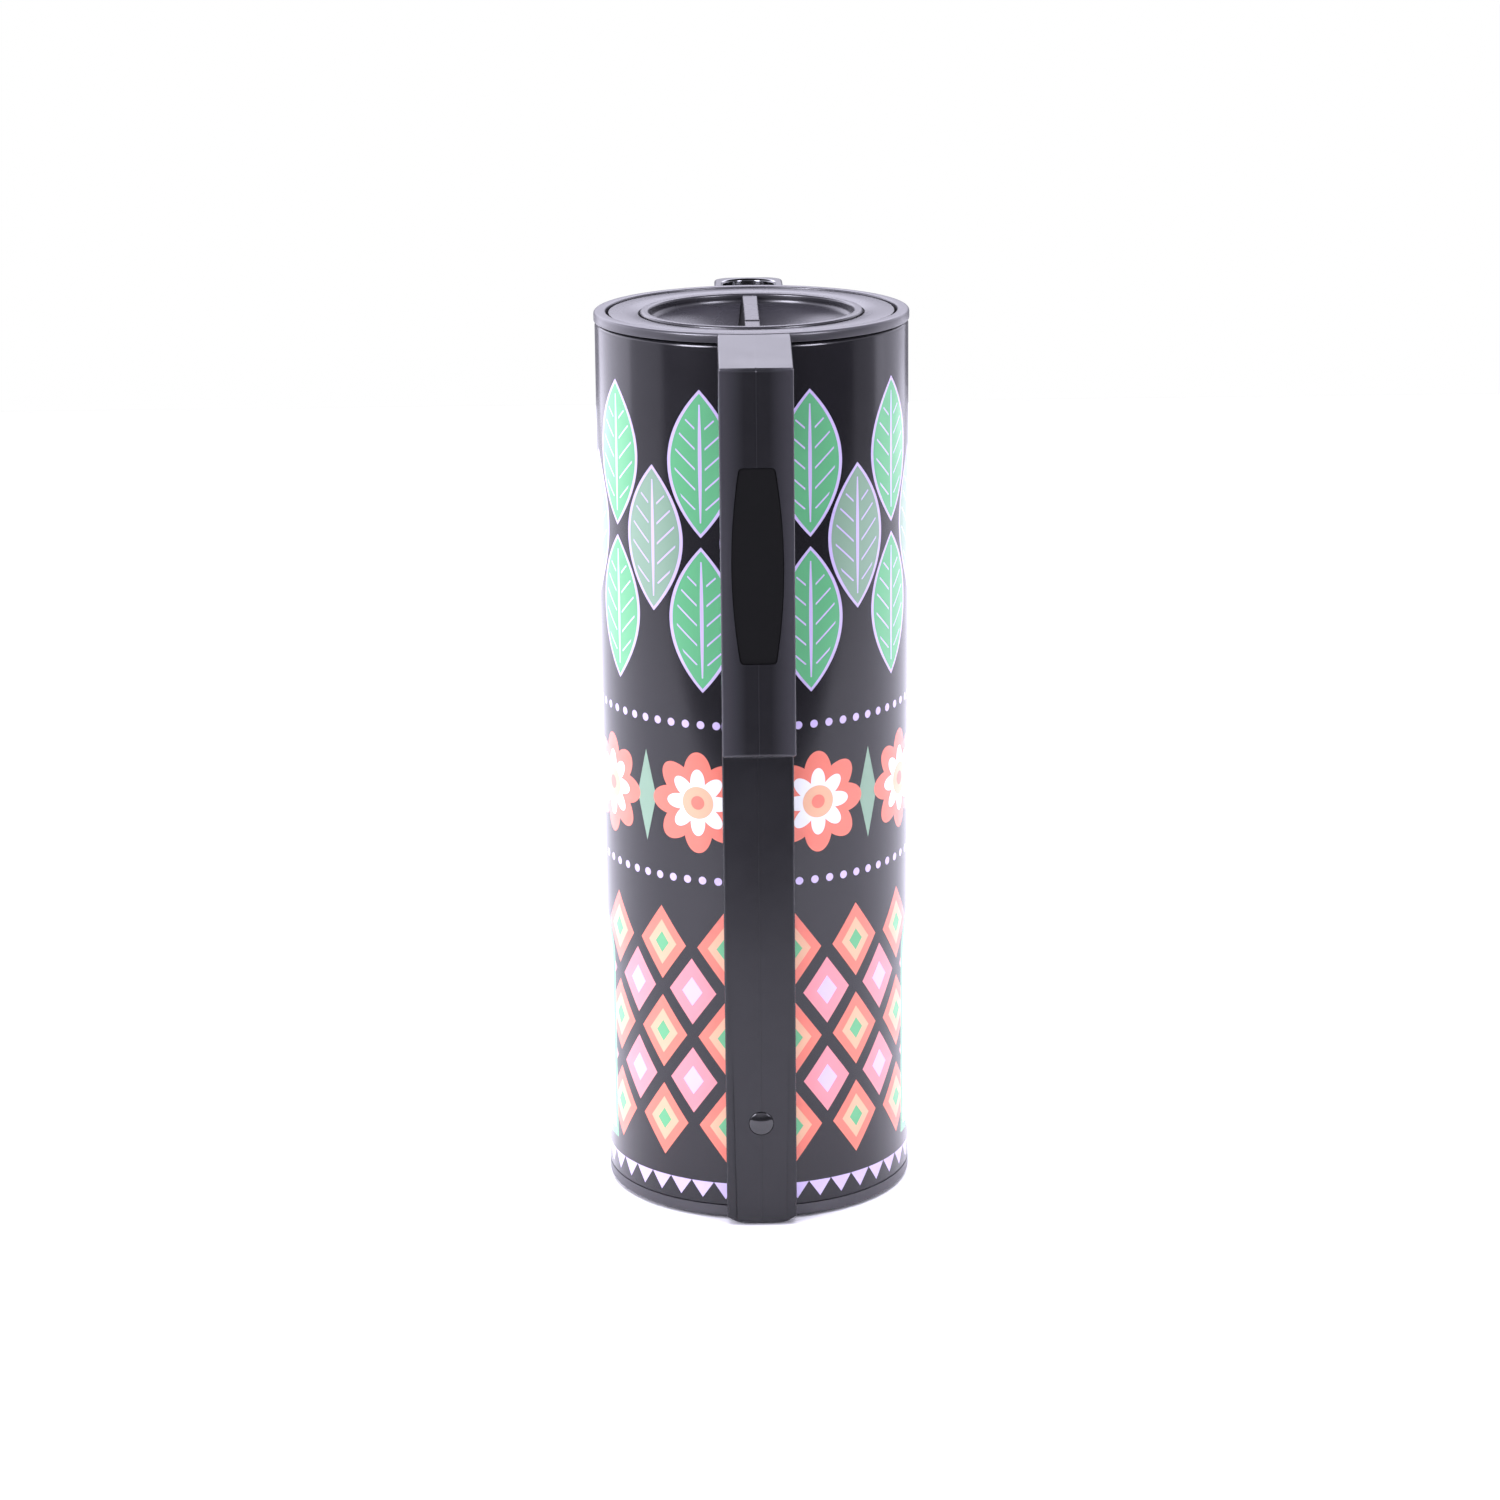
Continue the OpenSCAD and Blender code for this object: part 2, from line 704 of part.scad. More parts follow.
module grip_inlay() {
    color("#0e0e0f") inlay_slab(0, inlay_recess + inlay_t, inlay_t);
}

module handle_screw() {
    color("#b8b8bc")
        translate([0, 0, screw_z]) rotate([0, 0, 180]) {
            along_y(screw_r, insert_tip + fit_gap, strip_y - counterbore + screw_head_t / 2);
            along_y(screw_head_r, strip_y - counterbore, strip_y - counterbore + screw_head_t);
        }
}

module screw_cap() {
    color("#0a0a0b")
        translate([0, -strip_y, screw_z]) rotate([90, 0, 0]) {
            translate([0, 0, -cap_plug_t]) cylinder(r = cap_r, h = cap_plug_t);
            intersection() {
                translate([0, 0, cap_dome - cap_sphere_r]) sphere(r = cap_sphere_r);
                translate([0, 0, -cap_dome / 2]) cylinder(r = cap_r, h = 2 * cap_dome);
            }
        }
}

module screw_insert() {
    color("#c8a24a")
        difference() {
            intersection() {
                translate([0, 0, screw_z]) rotate([0, 0, 180]) along_y(insert_r, insert_tip, shell_r);
                cylinder(r = shell_ri - seat_gap, h = pot_h);
            }
            translate([0, 0, screw_z]) rotate([0, 0, 180]) along_y(screw_r + seat_gap, 0, shell_r);
        }
}

module upper_screws() {
    color("#b8b8bc") both_side_screws(180) side_screw(arm_screw_end);
}

// Share of the spout's top size that it has at height z
function spout_share(z) = spout_taper + (1 - spout_taper) * (z - spout_z) / (spout_top - spout_z);

// Plan of the spout's top, drawn from the shell outwards and shrunk by wall
module spout_plan(wall, back) {
    r = spout_end_r - wall;
    polygon(concat([[r, back]], arc([0, spout_reach - spout_end_r], r, 0, 180, 2 * arc_n), [[-r, back]]));
}

// The spout's plan raised from z0 to z1 along its taper
module spout_block(wall, back, z0, z1) {
    translate([0, shell_r, z0])
        linear_extrude(height = z1 - z0, scale = spout_share(z1) / spout_share(z0))
            scale(spout_share(z0)) spout_plan(wall, back);
}

module spout() {
    color("#d4d6da")
        difference() {
            union() {
                difference() {
                    spout_block(0, -shell_t * 2, spout_z, spout_top);
                    spout_block(spout_t, spout_back_t, spout_floor, spout_top + over);
                    pot_outside(2 * seat_gap, spout_ring_gap);
                }
                translate([0, nozzle_y, spout_z - nozzle_l])
                    cylinder(r = nozzle_r, h = nozzle_l + spout_floor_t / 2);
                translate([0, 0, outlet_z]) along_y(inlet_r, inlet_end, shell_r + spout_back_t / 2);
            }
            translate([0, nozzle_y, spout_z - nozzle_l - over])
                cylinder(d = nozzle_bore_d, h = nozzle_l + spout_floor_t + 2 * over);
            translate([0, nozzle_y, spout_z]) cylinder(d1 = nozzle_bore_d, r2 = funnel_r, h = spout_floor_t);
            translate([0, 0, outlet_z]) {
                along_y(pipe_bore_r, inlet_end - over, shell_r + spout_back_t + over);
                difference() {
                    along_y(spout_seal_r + seat_gap, 0, shell_r + seat_gap + spout_seal_t);
                    along_y(inlet_r, 0, shell_r + spout_back_t);
                }
            }
            both_side_screws(0) along_y(side_screw_r + seat_gap, 0, spout_screw_end + seat_gap);
        }
}

module spout_seal() {
    color("#3a3a3a")
        translate([0, 0, outlet_z])
            difference() {
                along_y(spout_seal_r, shell_r + seat_gap, shell_r + seat_gap + spout_seal_t);
                along_y(inlet_r + seat_gap, 0, shell_r + spout_back_t);
            }
}

module spout_screws() {
    color("#b8b8bc") both_side_screws(0) side_screw(spout_screw_end);
}

module pump_housing() {
    color("#e4e2dc")
        difference() {
            union() {
                tube(spring_well_r, housing_r, deck_z, deck_top);
                tube(housing_r - housing_t, housing_r, collar_floor_top + stop_gap, deck_top + housing_up);
                tube(stopper_r - stopper_t, stopper_r, collar_floor_top - stopper_l, deck_z + deck_t / 2);
                tube(spring_well_r, spring_well_r + spring_well_t, spring_well_z - spring_well_t,
                     deck_z + deck_t / 2);
                translate([0, 0, spring_well_z - spring_well_t])
                    cylinder(r = spring_well_r + spring_well_t / 2, h = spring_well_t);
                tube(bush_r + seat_gap, guide_r, spring_well_z - spring_well_t / 2, deck_top);
            }
            translate([0, 0, pipe_z]) along_y(branch_r + fit_gap, riser_y, stopper_r + over);
            translate([0, pipe_y, deck_z - over]) cylinder(r = pipe_r + pipe_hole_gap, h = deck_t + 2 * over);
            // Ports that let the pumped air out of the spring well into the flask
            for (a = [45:90:315])
                rotate([0, 0, a]) translate([0, 0, spring_well_z + 2 * air_hole_r])
                    along_y(air_hole_r, 0, spring_well_r + spring_well_t + over);
        }
}

module stopper_seal() {
    color("#d9d4ca")
        tube(stopper_r + seat_gap, opening_r - fit_gap, collar_z + fit_gap, collar_floor_top - fit_gap);
}

module guide_bush() {
    color("#f2f0ea") {
        tube(stem_r + run_gap, bush_r, bush_z, deck_top + bush_flange_t);
        tube(bush_r - bush_t / 2, guide_r, deck_top, deck_top + bush_flange_t);
    }
}

module outlet_pipe() {
    color("#d6e4ea")
        difference() {
            union() {
                translate([0, riser_y, socket_z]) cylinder(r = socket_r, h = socket_l + over);
                translate([0, riser_y, socket_z]) cylinder(r = pipe_r, h = pipe_z + pipe_r - socket_z);
                translate([0, 0, pipe_z]) along_y(branch_r, riser_y, pipe_y);
                translate([0, pipe_y, pipe_z - pipe_r])
                    cylinder(r = pipe_r, h = outlet_z - pipe_z + 2 * pipe_r);
                translate([0, 0, outlet_z]) along_y(branch_r, pipe_y, pipe_end);
            }
            translate([0, riser_y, socket_z - over]) cylinder(r = riser_r + seat_gap, h = socket_l + over);
            translate([0, riser_y, socket_z]) cylinder(r = pipe_bore_r, h = pipe_z + pipe_bore_r - socket_z);
            translate([0, 0, pipe_z]) along_y(branch_bore_r, riser_y, pipe_y);
            translate([0, pipe_y, pipe_z - pipe_bore_r])
                cylinder(r = pipe_bore_r, h = outlet_z - pipe_z + 2 * pipe_bore_r);
            translate([0, 0, outlet_z]) along_y(branch_bore_r, pipe_y, pipe_end + over);
        }
}

module port_seal() {
    color("#3a3a3a")
        translate([0, 0, outlet_z])
            difference() {
                along_y(port_seal_r, pipe_end, pipe_end + port_seal_t);
                along_y(branch_bore_r, pipe_end - over, pipe_end + port_seal_t + over);
            }
}

module riser_tube() {
    color("#dfe9ee", 0.8)
        translate([0, riser_y, 0]) tube(riser_bore_d / 2, riser_r, riser_z, socket_z + socket_l);
}

module foot_valve() {
    chamber_r = ball_r + ball_room;
    color("#e4e2dc")
        translate([0, riser_y, 0]) {
            tube(seat_r, valve_r, valve_z, valve_z + seat_t);
            tube(chamber_r, valve_r, valve_z + seat_t / 2, riser_z);
            tube(shelf_r, valve_r, riser_z - shelf_t, riser_z);
            tube(riser_r + seat_gap, valve_r, riser_z - shelf_t / 2, riser_z + valve_socket_l);
        }
}

module foot_ball() {
    color("#c9ccd0") translate([0, riser_y, valve_z + seat_t + ball_rise]) sphere(r = ball_r);
}

module bellows_retainer() {
    color("#f2f0ea") tube(clamp_r - clamp_w, clamp_r, deck_top, deck_top + clamp_h);
}

module press_plate() {
    color("#303034")
        difference() {
            union() {
                rotate_extrude() polygon(concat(
                    [[0, cup_under]],
                    arc([cup_flat_r, cup_under + cup_outer_arc], cup_outer_arc, -90, 0),
                    [[cup_flat_r + cup_outer_arc, valley_z - plate_t],
                     [plate_r - plate_rim_t, plate_top - plate_t],
                     [plate_r - plate_rim_t, plate_top - plate_rim_h], [plate_r, plate_top - plate_rim_h]],
                    arc([plate_r - plate_edge_r, plate_top - plate_edge_r], plate_edge_r, 0, 90),
                    [[groove_r, valley_z], [groove_r, groove_z], [cup_ri, groove_z]],
                    arc([cup_flat_r, cup_z + cup_inner_arc], cup_inner_arc, 0, -90),
                    [[0, cup_z]]));
                translate([0, 0, stem_z]) cylinder(r = stem_r, h = cup_under + cup_t / 2 - stem_z);
            }
            tube(clip_groove_r, stem_r + over, clip_z - seat_gap, clip_z + clip_t + seat_gap);
            translate([0, 0, bowl_z + fit_gap - pivot_l - seat_gap])
                cylinder(r = pivot_r + seat_gap, h = pivot_l + over);
            for (a = air_hole_angles)
                rotate([0, 0, a]) translate([air_hole_ring, 0, cup_under - over])
                    cylinder(r = air_hole_r, h = cup_t + 2 * over);
        }
}

module bellows_clamp() {
    color("#f2f0ea") {
        tube(clamp_r - clamp_w, clamp_r, cup_under - flap_t - clamp_h, cup_under - flap_t - seat_gap);
        tube(flap_r + fit_gap, clamp_r, cup_under - flap_t - clamp_h / 2, cup_under);
    }
}

module intake_flap() {
    color("#d9d4ca") tube(flap_ri, flap_r, cup_under - flap_t, cup_under);
}

module stem_clip() {
    color("#9a9da2") tube(clip_groove_r + seat_gap, clip_r, clip_z, clip_z + clip_t);
}

module pivot_screw() {
    color("#b8b8bc")
        translate([0, 0, bowl_z + fit_gap]) {
            cylinder(r = pivot_head_r, h = pivot_head_t);
            translate([0, 0, -pivot_l]) cylinder(r = pivot_r, h = pivot_l + pivot_head_t / 2);
        }
}

// Zigzag side of the bellows, shifted inwards by inset
function fold_line(inset) =
    [for (i = [0:2 * bellows_folds])
        [bellows_ri + (i % 2) * fold_depth - inset, deck_top + bellows_rest * i / (2 * bellows_folds)]];

module bellows() {
    color("#c8b9a0") rotate_extrude() polygon(walled(fold_line(0), fold_line(bellows_t)));
}

// Middle of the spring's wire at step i
function spring_point(i) =
    let (a = 360 * i / spring_steps, n = spring_turns * spring_steps)
    [spring_d / 2 * cos(a), spring_d / 2 * sin(a), spring_z + wire_d / 2 + (spring_l - wire_d) * i / n];

// Ring of points round the spring's wire at step i
function spring_ring(i) =
    let (a = 360 * i / spring_steps, p = spring_point(i))
    [for (k = [0:spring_sides - 1]) let (b = 360 * k / spring_sides)
        p + wire_d / 2 * [cos(b) * cos(a), cos(b) * sin(a), sin(b)]];

module return_spring() {
    n = spring_turns * spring_steps;
    s = spring_sides;
    points = [for (i = [0:n]) each spring_ring(i)];
    sides = [for (i = [0:n - 1]) for (k = [0:s - 1]) let (j = (k + 1) % s)
        each [[i * s + k, (i + 1) * s + k, (i + 1) * s + j], [i * s + k, (i + 1) * s + j, i * s + j]]];
    starts = [for (k = [1:s - 2]) [0, k, k + 1]];
    ends = [for (k = [1:s - 2]) [n * s, n * s + k + 1, n * s + k]];
    turns_apart = [for (i = [0:n - spring_steps]) norm(spring_point(i + spring_steps) - spring_point(i))];
    gap = min(turns_apart) - wire_d;
    echo(least_gap_between_spring_turns = gap);
    color("#a8abb0") polyhedron(points = points, faces = concat(sides, starts, ends));
}

// Height of the dish at radius r, outside its flat middle
function dish_z(r) = bowl_z + (r - dish_flat_r) * tan(dish_slope);

module grip_bowl() {
    e = lip_edge_r;
    wall_r = bowl_r + bowl_t;
    pivot_hole = pivot_r + run_gap;
    color("#2b2b2e")
        difference() {
            rotate_extrude() polygon(concat(
                [[pivot_hole, bowl_under], [dish_under_r, bowl_under],
                 [wall_r, dish_z(wall_r) - bowl_t / cos(dish_slope)],
                 [wall_r, lip_top - lip_h], [lip_r, lip_top - lip_h]],
                arc([lip_r - e, lip_top - e], e, 0, 90),
                arc([bowl_r + e, lip_top - e], e, 90, 180),
                arc(bowl_corner, bowl_corner_r, 0, dish_slope - 90),
                [[dish_flat_r, bowl_z], [pivot_hole, bowl_z]]));
            for (a = air_hole_angles)
                rotate([0, 0, a]) translate([air_hole_ring, 0, bowl_under - over])
                    cylinder(r = air_hole_r, h = bowl_depth);
        }
}

module grip_bar() {
    w = bar_w / 2;
    top = lip_top - bar_drop;
    spread = w + bar_draft;
    ledge_w = w + bar_ledge_w;
    ledge_top = top - bar_ledge_drop;
    side_r = bowl_r - seat_gap;
    arc_r = bowl_corner_r - seat_gap;
    color("#2b2b2e")
        difference() {
            intersection() {
                rotate([90, 0, 0]) linear_extrude(height = 2 * bowl_r + 2 * over, center = true)
                    polygon([[-spread - bar_ledge_w, bowl_z], [spread, bowl_z], [w, top], [-w, top],
                             [-w, ledge_top], [-ledge_w, ledge_top]]);
                rotate_extrude() polygon(concat(
                    [[0, bowl_z + seat_gap], [dish_flat_r, bowl_z + seat_gap]],
                    arc(bowl_corner, arc_r, dish_slope - 90, 0),
                    [[side_r, top + over], [0, top + over]]));
            }
            translate([0, 0, bowl_z - over]) cylinder(r = pivot_arch_r, h = pivot_arch_h + over);
            // Crease across the bar's top
            translate([0, -crease_y, top]) rotate([45, 0, 0])
                cube([handle_w, crease_depth * sqrt(2), crease_depth * sqrt(2)], center = true);
        }
}

module shutter_disc() {
    color("#d9d4ca")
        difference() {
            tube(pivot_r + run_gap, shutter_r, bowl_under - shutter_t, bowl_under);
            for (a = air_hole_angles)
                rotate([0, 0, a]) translate([air_hole_ring, 0, bowl_under - shutter_t - over])
                    cylinder(r = air_hole_r, h = shutter_t + 2 * over);
        }
}

foot_pad();
base_cap();
base_plug();
liner_cushion();
liner_spacer();
liner_outer_glass();
liner_inner_glass();
neck_gasket();
neck_collar();
outer_shell();
top_ring();
handle();
grip_inlay();
handle_screw();
screw_cap();
screw_insert();
upper_screws();
spout();
spout_seal();
spout_screws();
pump_housing();
stopper_seal();
guide_bush();
outlet_pipe();
port_seal();
riser_tube();
foot_valve();
foot_ball();
bellows_retainer();
press_plate();
bellows_clamp();
intake_flap();
stem_clip();
pivot_screw();
bellows();
return_spring();
grip_bowl();
grip_bar();
shutter_disc();
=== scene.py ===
"""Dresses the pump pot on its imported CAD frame. Sizes are millimetres, in the frame's own axes."""

import logging
import math
from dataclasses import dataclass
from enum import Enum
from typing import Callable, Iterable

import bmesh
import bpy
from mathutils import Matrix, Vector


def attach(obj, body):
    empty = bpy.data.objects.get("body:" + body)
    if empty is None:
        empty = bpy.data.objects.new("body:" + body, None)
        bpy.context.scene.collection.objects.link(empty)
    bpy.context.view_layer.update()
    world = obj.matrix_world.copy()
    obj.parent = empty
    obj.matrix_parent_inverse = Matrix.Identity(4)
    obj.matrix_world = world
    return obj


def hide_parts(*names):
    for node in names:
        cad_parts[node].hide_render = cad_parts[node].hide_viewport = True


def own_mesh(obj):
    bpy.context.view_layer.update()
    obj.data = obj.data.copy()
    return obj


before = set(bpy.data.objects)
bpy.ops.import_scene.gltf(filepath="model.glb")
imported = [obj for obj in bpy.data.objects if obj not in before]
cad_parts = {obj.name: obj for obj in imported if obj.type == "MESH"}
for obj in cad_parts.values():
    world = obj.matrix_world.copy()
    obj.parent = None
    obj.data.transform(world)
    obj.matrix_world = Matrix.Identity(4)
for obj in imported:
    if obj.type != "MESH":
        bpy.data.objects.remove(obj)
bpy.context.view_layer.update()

LOG = logging.getLogger("pump_pot")
MM = 0.001
FULL_TURN = 2 * math.pi
QUARTER_TURN = math.pi / 2
SHELL_R = 66.35
GIRTH = FULL_TURN * SHELL_R
# Metres within which two places count as one, and degrees over which an edge counts as a rim
TOUCH = 1e-6
DOUBLES = 1e-7
RIM_ANGLE = 60.0
# Sockets of a Mix node that mixes colours
MIX_FIRST, MIX_SECOND, MIX_RESULT = 6, 7, 2

Colour = tuple[float, float, float]
Place = tuple[float, float, float]


class Body(Enum):
    """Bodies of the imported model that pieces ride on."""

    POT = "pot"
    PUMP = "pump_unit"
    PLATE = "press_plate"
    GRIP = "grip"


class Slot(Enum):
    """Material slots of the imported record."""

    SHELL = "printed_shell"
    BLACK = "black_plastic"
    HANDLE = "handle_plastic"
    INLAY = "soft_inlay"
    CAP = "gloss_cap"
    SPOUT = "bright_spout"
    SILICONE = "silicone"
    STEEL = "steel"


class Ink(Enum):
    """Inks of the shell's print, as linear colours."""

    GREEN = (0.13, 0.45, 0.21)
    SAGE = (0.24, 0.38, 0.27)
    LAVENDER = (0.60, 0.50, 0.80)
    CORAL = (0.80, 0.20, 0.14)
    APRICOT = (0.78, 0.44, 0.27)
    SALMON = (0.80, 0.27, 0.30)
    WHITE = (0.84, 0.85, 0.85)


# Node trees


class Term:
    """A value in a node tree that plain arithmetic can be done with."""

    def __init__(self, graph: "Graph", socket: bpy.types.NodeSocket) -> None:
        """Keeps the graph and the output socket that carries the value."""
        self.graph = graph
        self.socket = socket

    def math(self, kind: str, *others: "Term | float", clamp: bool = False) -> "Term":
        """Adds a Math node.

        Args:
            kind: Name of the node's operation.
            others: Further inputs.
            clamp: Whether the result is held between 0 and 1.

        Returns:
            The node's result.
        """
        node = self.graph.node("ShaderNodeMath", operation=kind, use_clamp=clamp)
        for socket, value in zip(node.inputs, (self, *others)):
            self.graph.feed(socket, value)
        return Term(self.graph, node.outputs[0])

    def __add__(self, other: "Term | float") -> "Term":
        """Sum."""
        return self.math("ADD", other)

    def __sub__(self, other: "Term | float") -> "Term":
        """Difference."""
        return self.math("SUBTRACT", other)

    def __mul__(self, other: "Term | float") -> "Term":
        """Product, which is also where two masks overlap."""
        return self.math("MULTIPLY", other)

    def __truediv__(self, other: "Term | float") -> "Term":
        """Quotient."""
        return self.math("DIVIDE", other)

    def __abs__(self) -> "Term":
        """Size without sign."""
        return self.math("ABSOLUTE")

    def __or__(self, other: "Term") -> "Term":
        """Either of two masks."""
        return self.math("MAXIMUM", other)

    def below(self, edge: "Term | float", soft: float = 0.12) -> "Term":
        """Mask of the places where the value is under an edge.

        Args:
            edge: Where the mask ends.
            soft: Width over which it fades.

        Returns:
            The mask, 1 under the edge.
        """
        side = (self * -1.0) + edge
        return side.math("MULTIPLY_ADD", 1.0 / soft, 0.5, clamp=True)

    def above(self, edge: float, soft: float = 0.12) -> "Term":
        """Mask of the places where the value is over an edge."""
        return (self - edge).math("MULTIPLY_ADD", 1.0 / soft, 0.5, clamp=True)

    def within(self, low: float, high: float, soft: float = 0.12) -> "Term":
        """Mask of the places where the value lies between two edges."""
        return abs(self - (low + high) / 2).below((high - low) / 2, soft)

    def far(self, other: "Term") -> "Term":
        """Distance from the origin of a point that has this value and another as coordinates."""
        return (self * self + other * other).math("SQRT")

    def repeat(self, period: float, start: float = 0.0) -> "Term":
        """Distance, with its sign, from the middle of the nearest of many equal cells."""
        cell = (self - start).math("FLOORED_MODULO", period)
        return cell - period / 2


class Graph:
    """Adds nodes to a tree and wires them."""

    def __init__(self, tree: bpy.types.NodeTree) -> None:
        """Keeps the tree."""
        self.tree = tree

    def node(self, kind: str, **settings: object) -> bpy.types.Node:
        """Adds a node.

        Args:
            kind: Type of the node.
            settings: Properties to set on it.

        Returns:
            The node.
        """
        made = self.tree.nodes.new(kind)
        for name, value in settings.items():
            setattr(made, name, value)
        return made

    def feed(self, socket: bpy.types.NodeSocket, value: object) -> None:
        """Links a socket to a term or another socket, or sets its plain value.

        Args:
            socket: Input of a node.
            value: What goes in.
        """
        if isinstance(value, Term):
            self.tree.links.new(value.socket, socket)
        elif isinstance(value, bpy.types.NodeSocket):
            self.tree.links.new(value, socket)
        elif isinstance(value, tuple) and socket.type == "RGBA":
            socket.default_value = (*value, 1.0)
        else:
            socket.default_value = value

    def point(self) -> bpy.types.NodeSocket:
        """The surface point in the frame's axes, in metres."""
        return self.node("ShaderNodeTexCoord").outputs["Object"]

    def axes(self) -> tuple[Term, Term, Term]:
        """Adds nodes that give the surface point.

        Returns:
            Its x, y and z in millimetres.
        """
        split = self.node("ShaderNodeSeparateXYZ")
        self.feed(split.inputs[0], self.point())
        x, y, z = (Term(self, socket) * (1.0 / MM) for socket in split.outputs)
        return x, y, z

    def noise(self, scale: object, detail: float, point: object = None) -> Term:
        """Adds a noise.

        Args:
            scale: Features to the metre.
            detail: Number of finer layers.
            point: Where it is read, or None for the surface point.

        Returns:
            The noise, from 0 to 1.
        """
        node = self.node("ShaderNodeTexNoise")
        self.feed(node.inputs["Vector"], self.point() if point is None else point)
        self.feed(node.inputs["Scale"], scale)
        node.inputs["Detail"].default_value = detail
        return Term(self, node.outputs["Fac"])

    def spread(self, value: Term, low: object, high: object) -> Term:
        """Stretches a value from 0 to 1 over another range.

        Args:
            value: The value.
            low: What 0 becomes.
            high: What 1 becomes.

        Returns:
            The stretched value.
        """
        node = self.node("ShaderNodeMapRange")
        self.feed(node.inputs["Value"], value)
        self.feed(node.inputs["To Min"], low)
        self.feed(node.inputs["To Max"], high)
        return Term(self, node.outputs["Result"])

    def mix(self, first: object, second: object, mask: Term) -> bpy.types.NodeSocket:
        """Lays a second colour over a first one.

        Args:
            first: Colour underneath.
            second: Colour on top.
            mask: Where the second one shows.

        Returns:
            The mixed colour.
        """
        node = self.node("ShaderNodeMix", data_type="RGBA")
        self.feed(node.inputs["Factor"], mask)
        self.feed(node.inputs[MIX_FIRST], first)
        self.feed(node.inputs[MIX_SECOND], second)
        return node.outputs[MIX_RESULT]

    def bump(self, height: Term, depth: float, under: object = None) -> bpy.types.NodeSocket:
        """Adds a Bump node.

        Args:
            height: Relief from 0 to 1.
            depth: Depth of the relief in millimetres.
            under: Normal that it is laid over, or None.

        Returns:
            The bent normal.
        """
        node = self.node("ShaderNodeBump")
        node.inputs["Distance"].default_value = depth * MM
        self.feed(node.inputs["Height"], height)
        if under is not None:
            self.feed(node.inputs["Normal"], under)
        return node.outputs["Normal"]

    def use(self, tree: bpy.types.NodeTree, **values: object) -> dict[str, Term]:
        """Places a node group.

        Args:
            tree: The group.
            values: Its inputs, by name with _ for a space.

        Returns:
            Its outputs by name.
        """
        node = self.node("ShaderNodeGroup", node_tree=tree)
        for name, value in values.items():
            self.feed(node.inputs[name.replace("_", " ")], value)
        return {socket.name: Term(self, socket) for socket in node.outputs}


class Effects:
    """Shader node groups that several finishes share, each built once."""

    GRAIN_DETAIL = 2.0
    CLOUD_DETAIL = 3.0
    LINE_DETAIL = 3.0
    SMEAR_DETAIL = 4.0
    SMEAR_EDGE = 0.56
    SMEAR_SOFT = 0.16
    _made: dict[str, bpy.types.NodeTree] = {}

    @classmethod
    def _group(cls, name: str, inputs: dict[str, float], outputs: Iterable[str],
               fill: Callable[[Graph, dict[str, Term]], dict[str, Term]]) -> bpy.types.NodeTree:
        """Builds a group, or finds it if it is there.

        Args:
            name: Name of the group.
            inputs: Names of its inputs with their usual values.
            outputs: Names of its outputs.
            fill: Adds its nodes and gives the outputs.

        Returns:
            The group's tree.
        """
        if name in cls._made:
            return cls._made[name]
        tree = bpy.data.node_groups.new(name, "ShaderNodeTree")
        for title, value in inputs.items():
            socket = tree.interface.new_socket(title, in_out="INPUT", socket_type="NodeSocketFloat")
            socket.default_value = value
        for title in outputs:
            tree.interface.new_socket(title, in_out="OUTPUT", socket_type="NodeSocketFloat")
        graph = Graph(tree)
        entry = graph.node("NodeGroupInput")
        given = {socket.name: Term(graph, socket) for socket in entry.outputs if socket.name}
        made = fill(graph, given)
        leave = graph.node("NodeGroupOutput")
        for title, term in made.items():
            graph.feed(leave.inputs[title], term)
        cls._made[name] = tree
        return tree

    @classmethod
    def moulded(cls) -> bpy.types.NodeTree:
        """Fine grain of a mould's face and slow changes of gloss across it.

        Returns:
            The group's tree.
        """
        def fill(graph: Graph, given: dict[str, Term]) -> dict[str, Term]:
            """Adds two noises of different size."""
            grain = graph.noise(given["Fine"], cls.GRAIN_DETAIL)
            return {"Grain": grain, "Cloud": graph.noise(given["Broad"], cls.CLOUD_DETAIL)}

        return cls._group("moulded_face", {"Fine": 2400.0, "Broad": 45.0}, ("Grain", "Cloud"), fill)

    @classmethod
    def turned(cls) -> bpy.types.NodeTree:
        """Distance round the pot from the handle's side, at the shell, and height, both in millimetres.

        Returns:
            The group's tree.
        """
        def fill(graph: Graph, given: dict[str, Term]) -> dict[str, Term]:
            """Turns the surface point into angle and height."""
            x, y, z = graph.axes()
            return {"Around": x.math("ARCTAN2", y * -1.0) * SHELL_R, "Height": z}

        return cls._group("turned_place", {}, ("Around", "Height"), fill)

    @classmethod
    def brushed(cls) -> bpy.types.NodeTree:
        """Turning lines that run round the pot's axis.

        Returns:
            The group's tree.
        """
        def fill(graph: Graph, given: dict[str, Term]) -> dict[str, Term]:
            """Stretches a noise round the axis.

            Args:
                graph: The group's graph.
                given: Its inputs.

            Returns:
                Its outputs.
            """
            x, y, z = graph.axes()
            join = graph.node("ShaderNodeCombineXYZ")
            graph.feed(join.inputs["X"], x.far(y) * MM)
            graph.feed(join.inputs["Z"], z * MM)
            return {"Lines": graph.noise(given["Fine"], cls.LINE_DETAIL, join.outputs[0])}

        return cls._group("turning_lines", {"Fine": 3000.0}, ("Lines",), fill)

    @classmethod
    def handled(cls) -> bpy.types.NodeTree:
        """Faint smears that hands leave, as a mask.

        Returns:
            The group's tree.
        """
        def fill(graph: Graph, given: dict[str, Term]) -> dict[str, Term]:
            """Keeps the peaks of a stretched noise."""
            smear = graph.noise(given["Size"], cls.SMEAR_DETAIL)
            return {"Smear": smear.above(cls.SMEAR_EDGE, cls.SMEAR_SOFT)}

        return cls._group("hand_smears", {"Size": 28.0}, ("Smear",), fill)


# Finishes


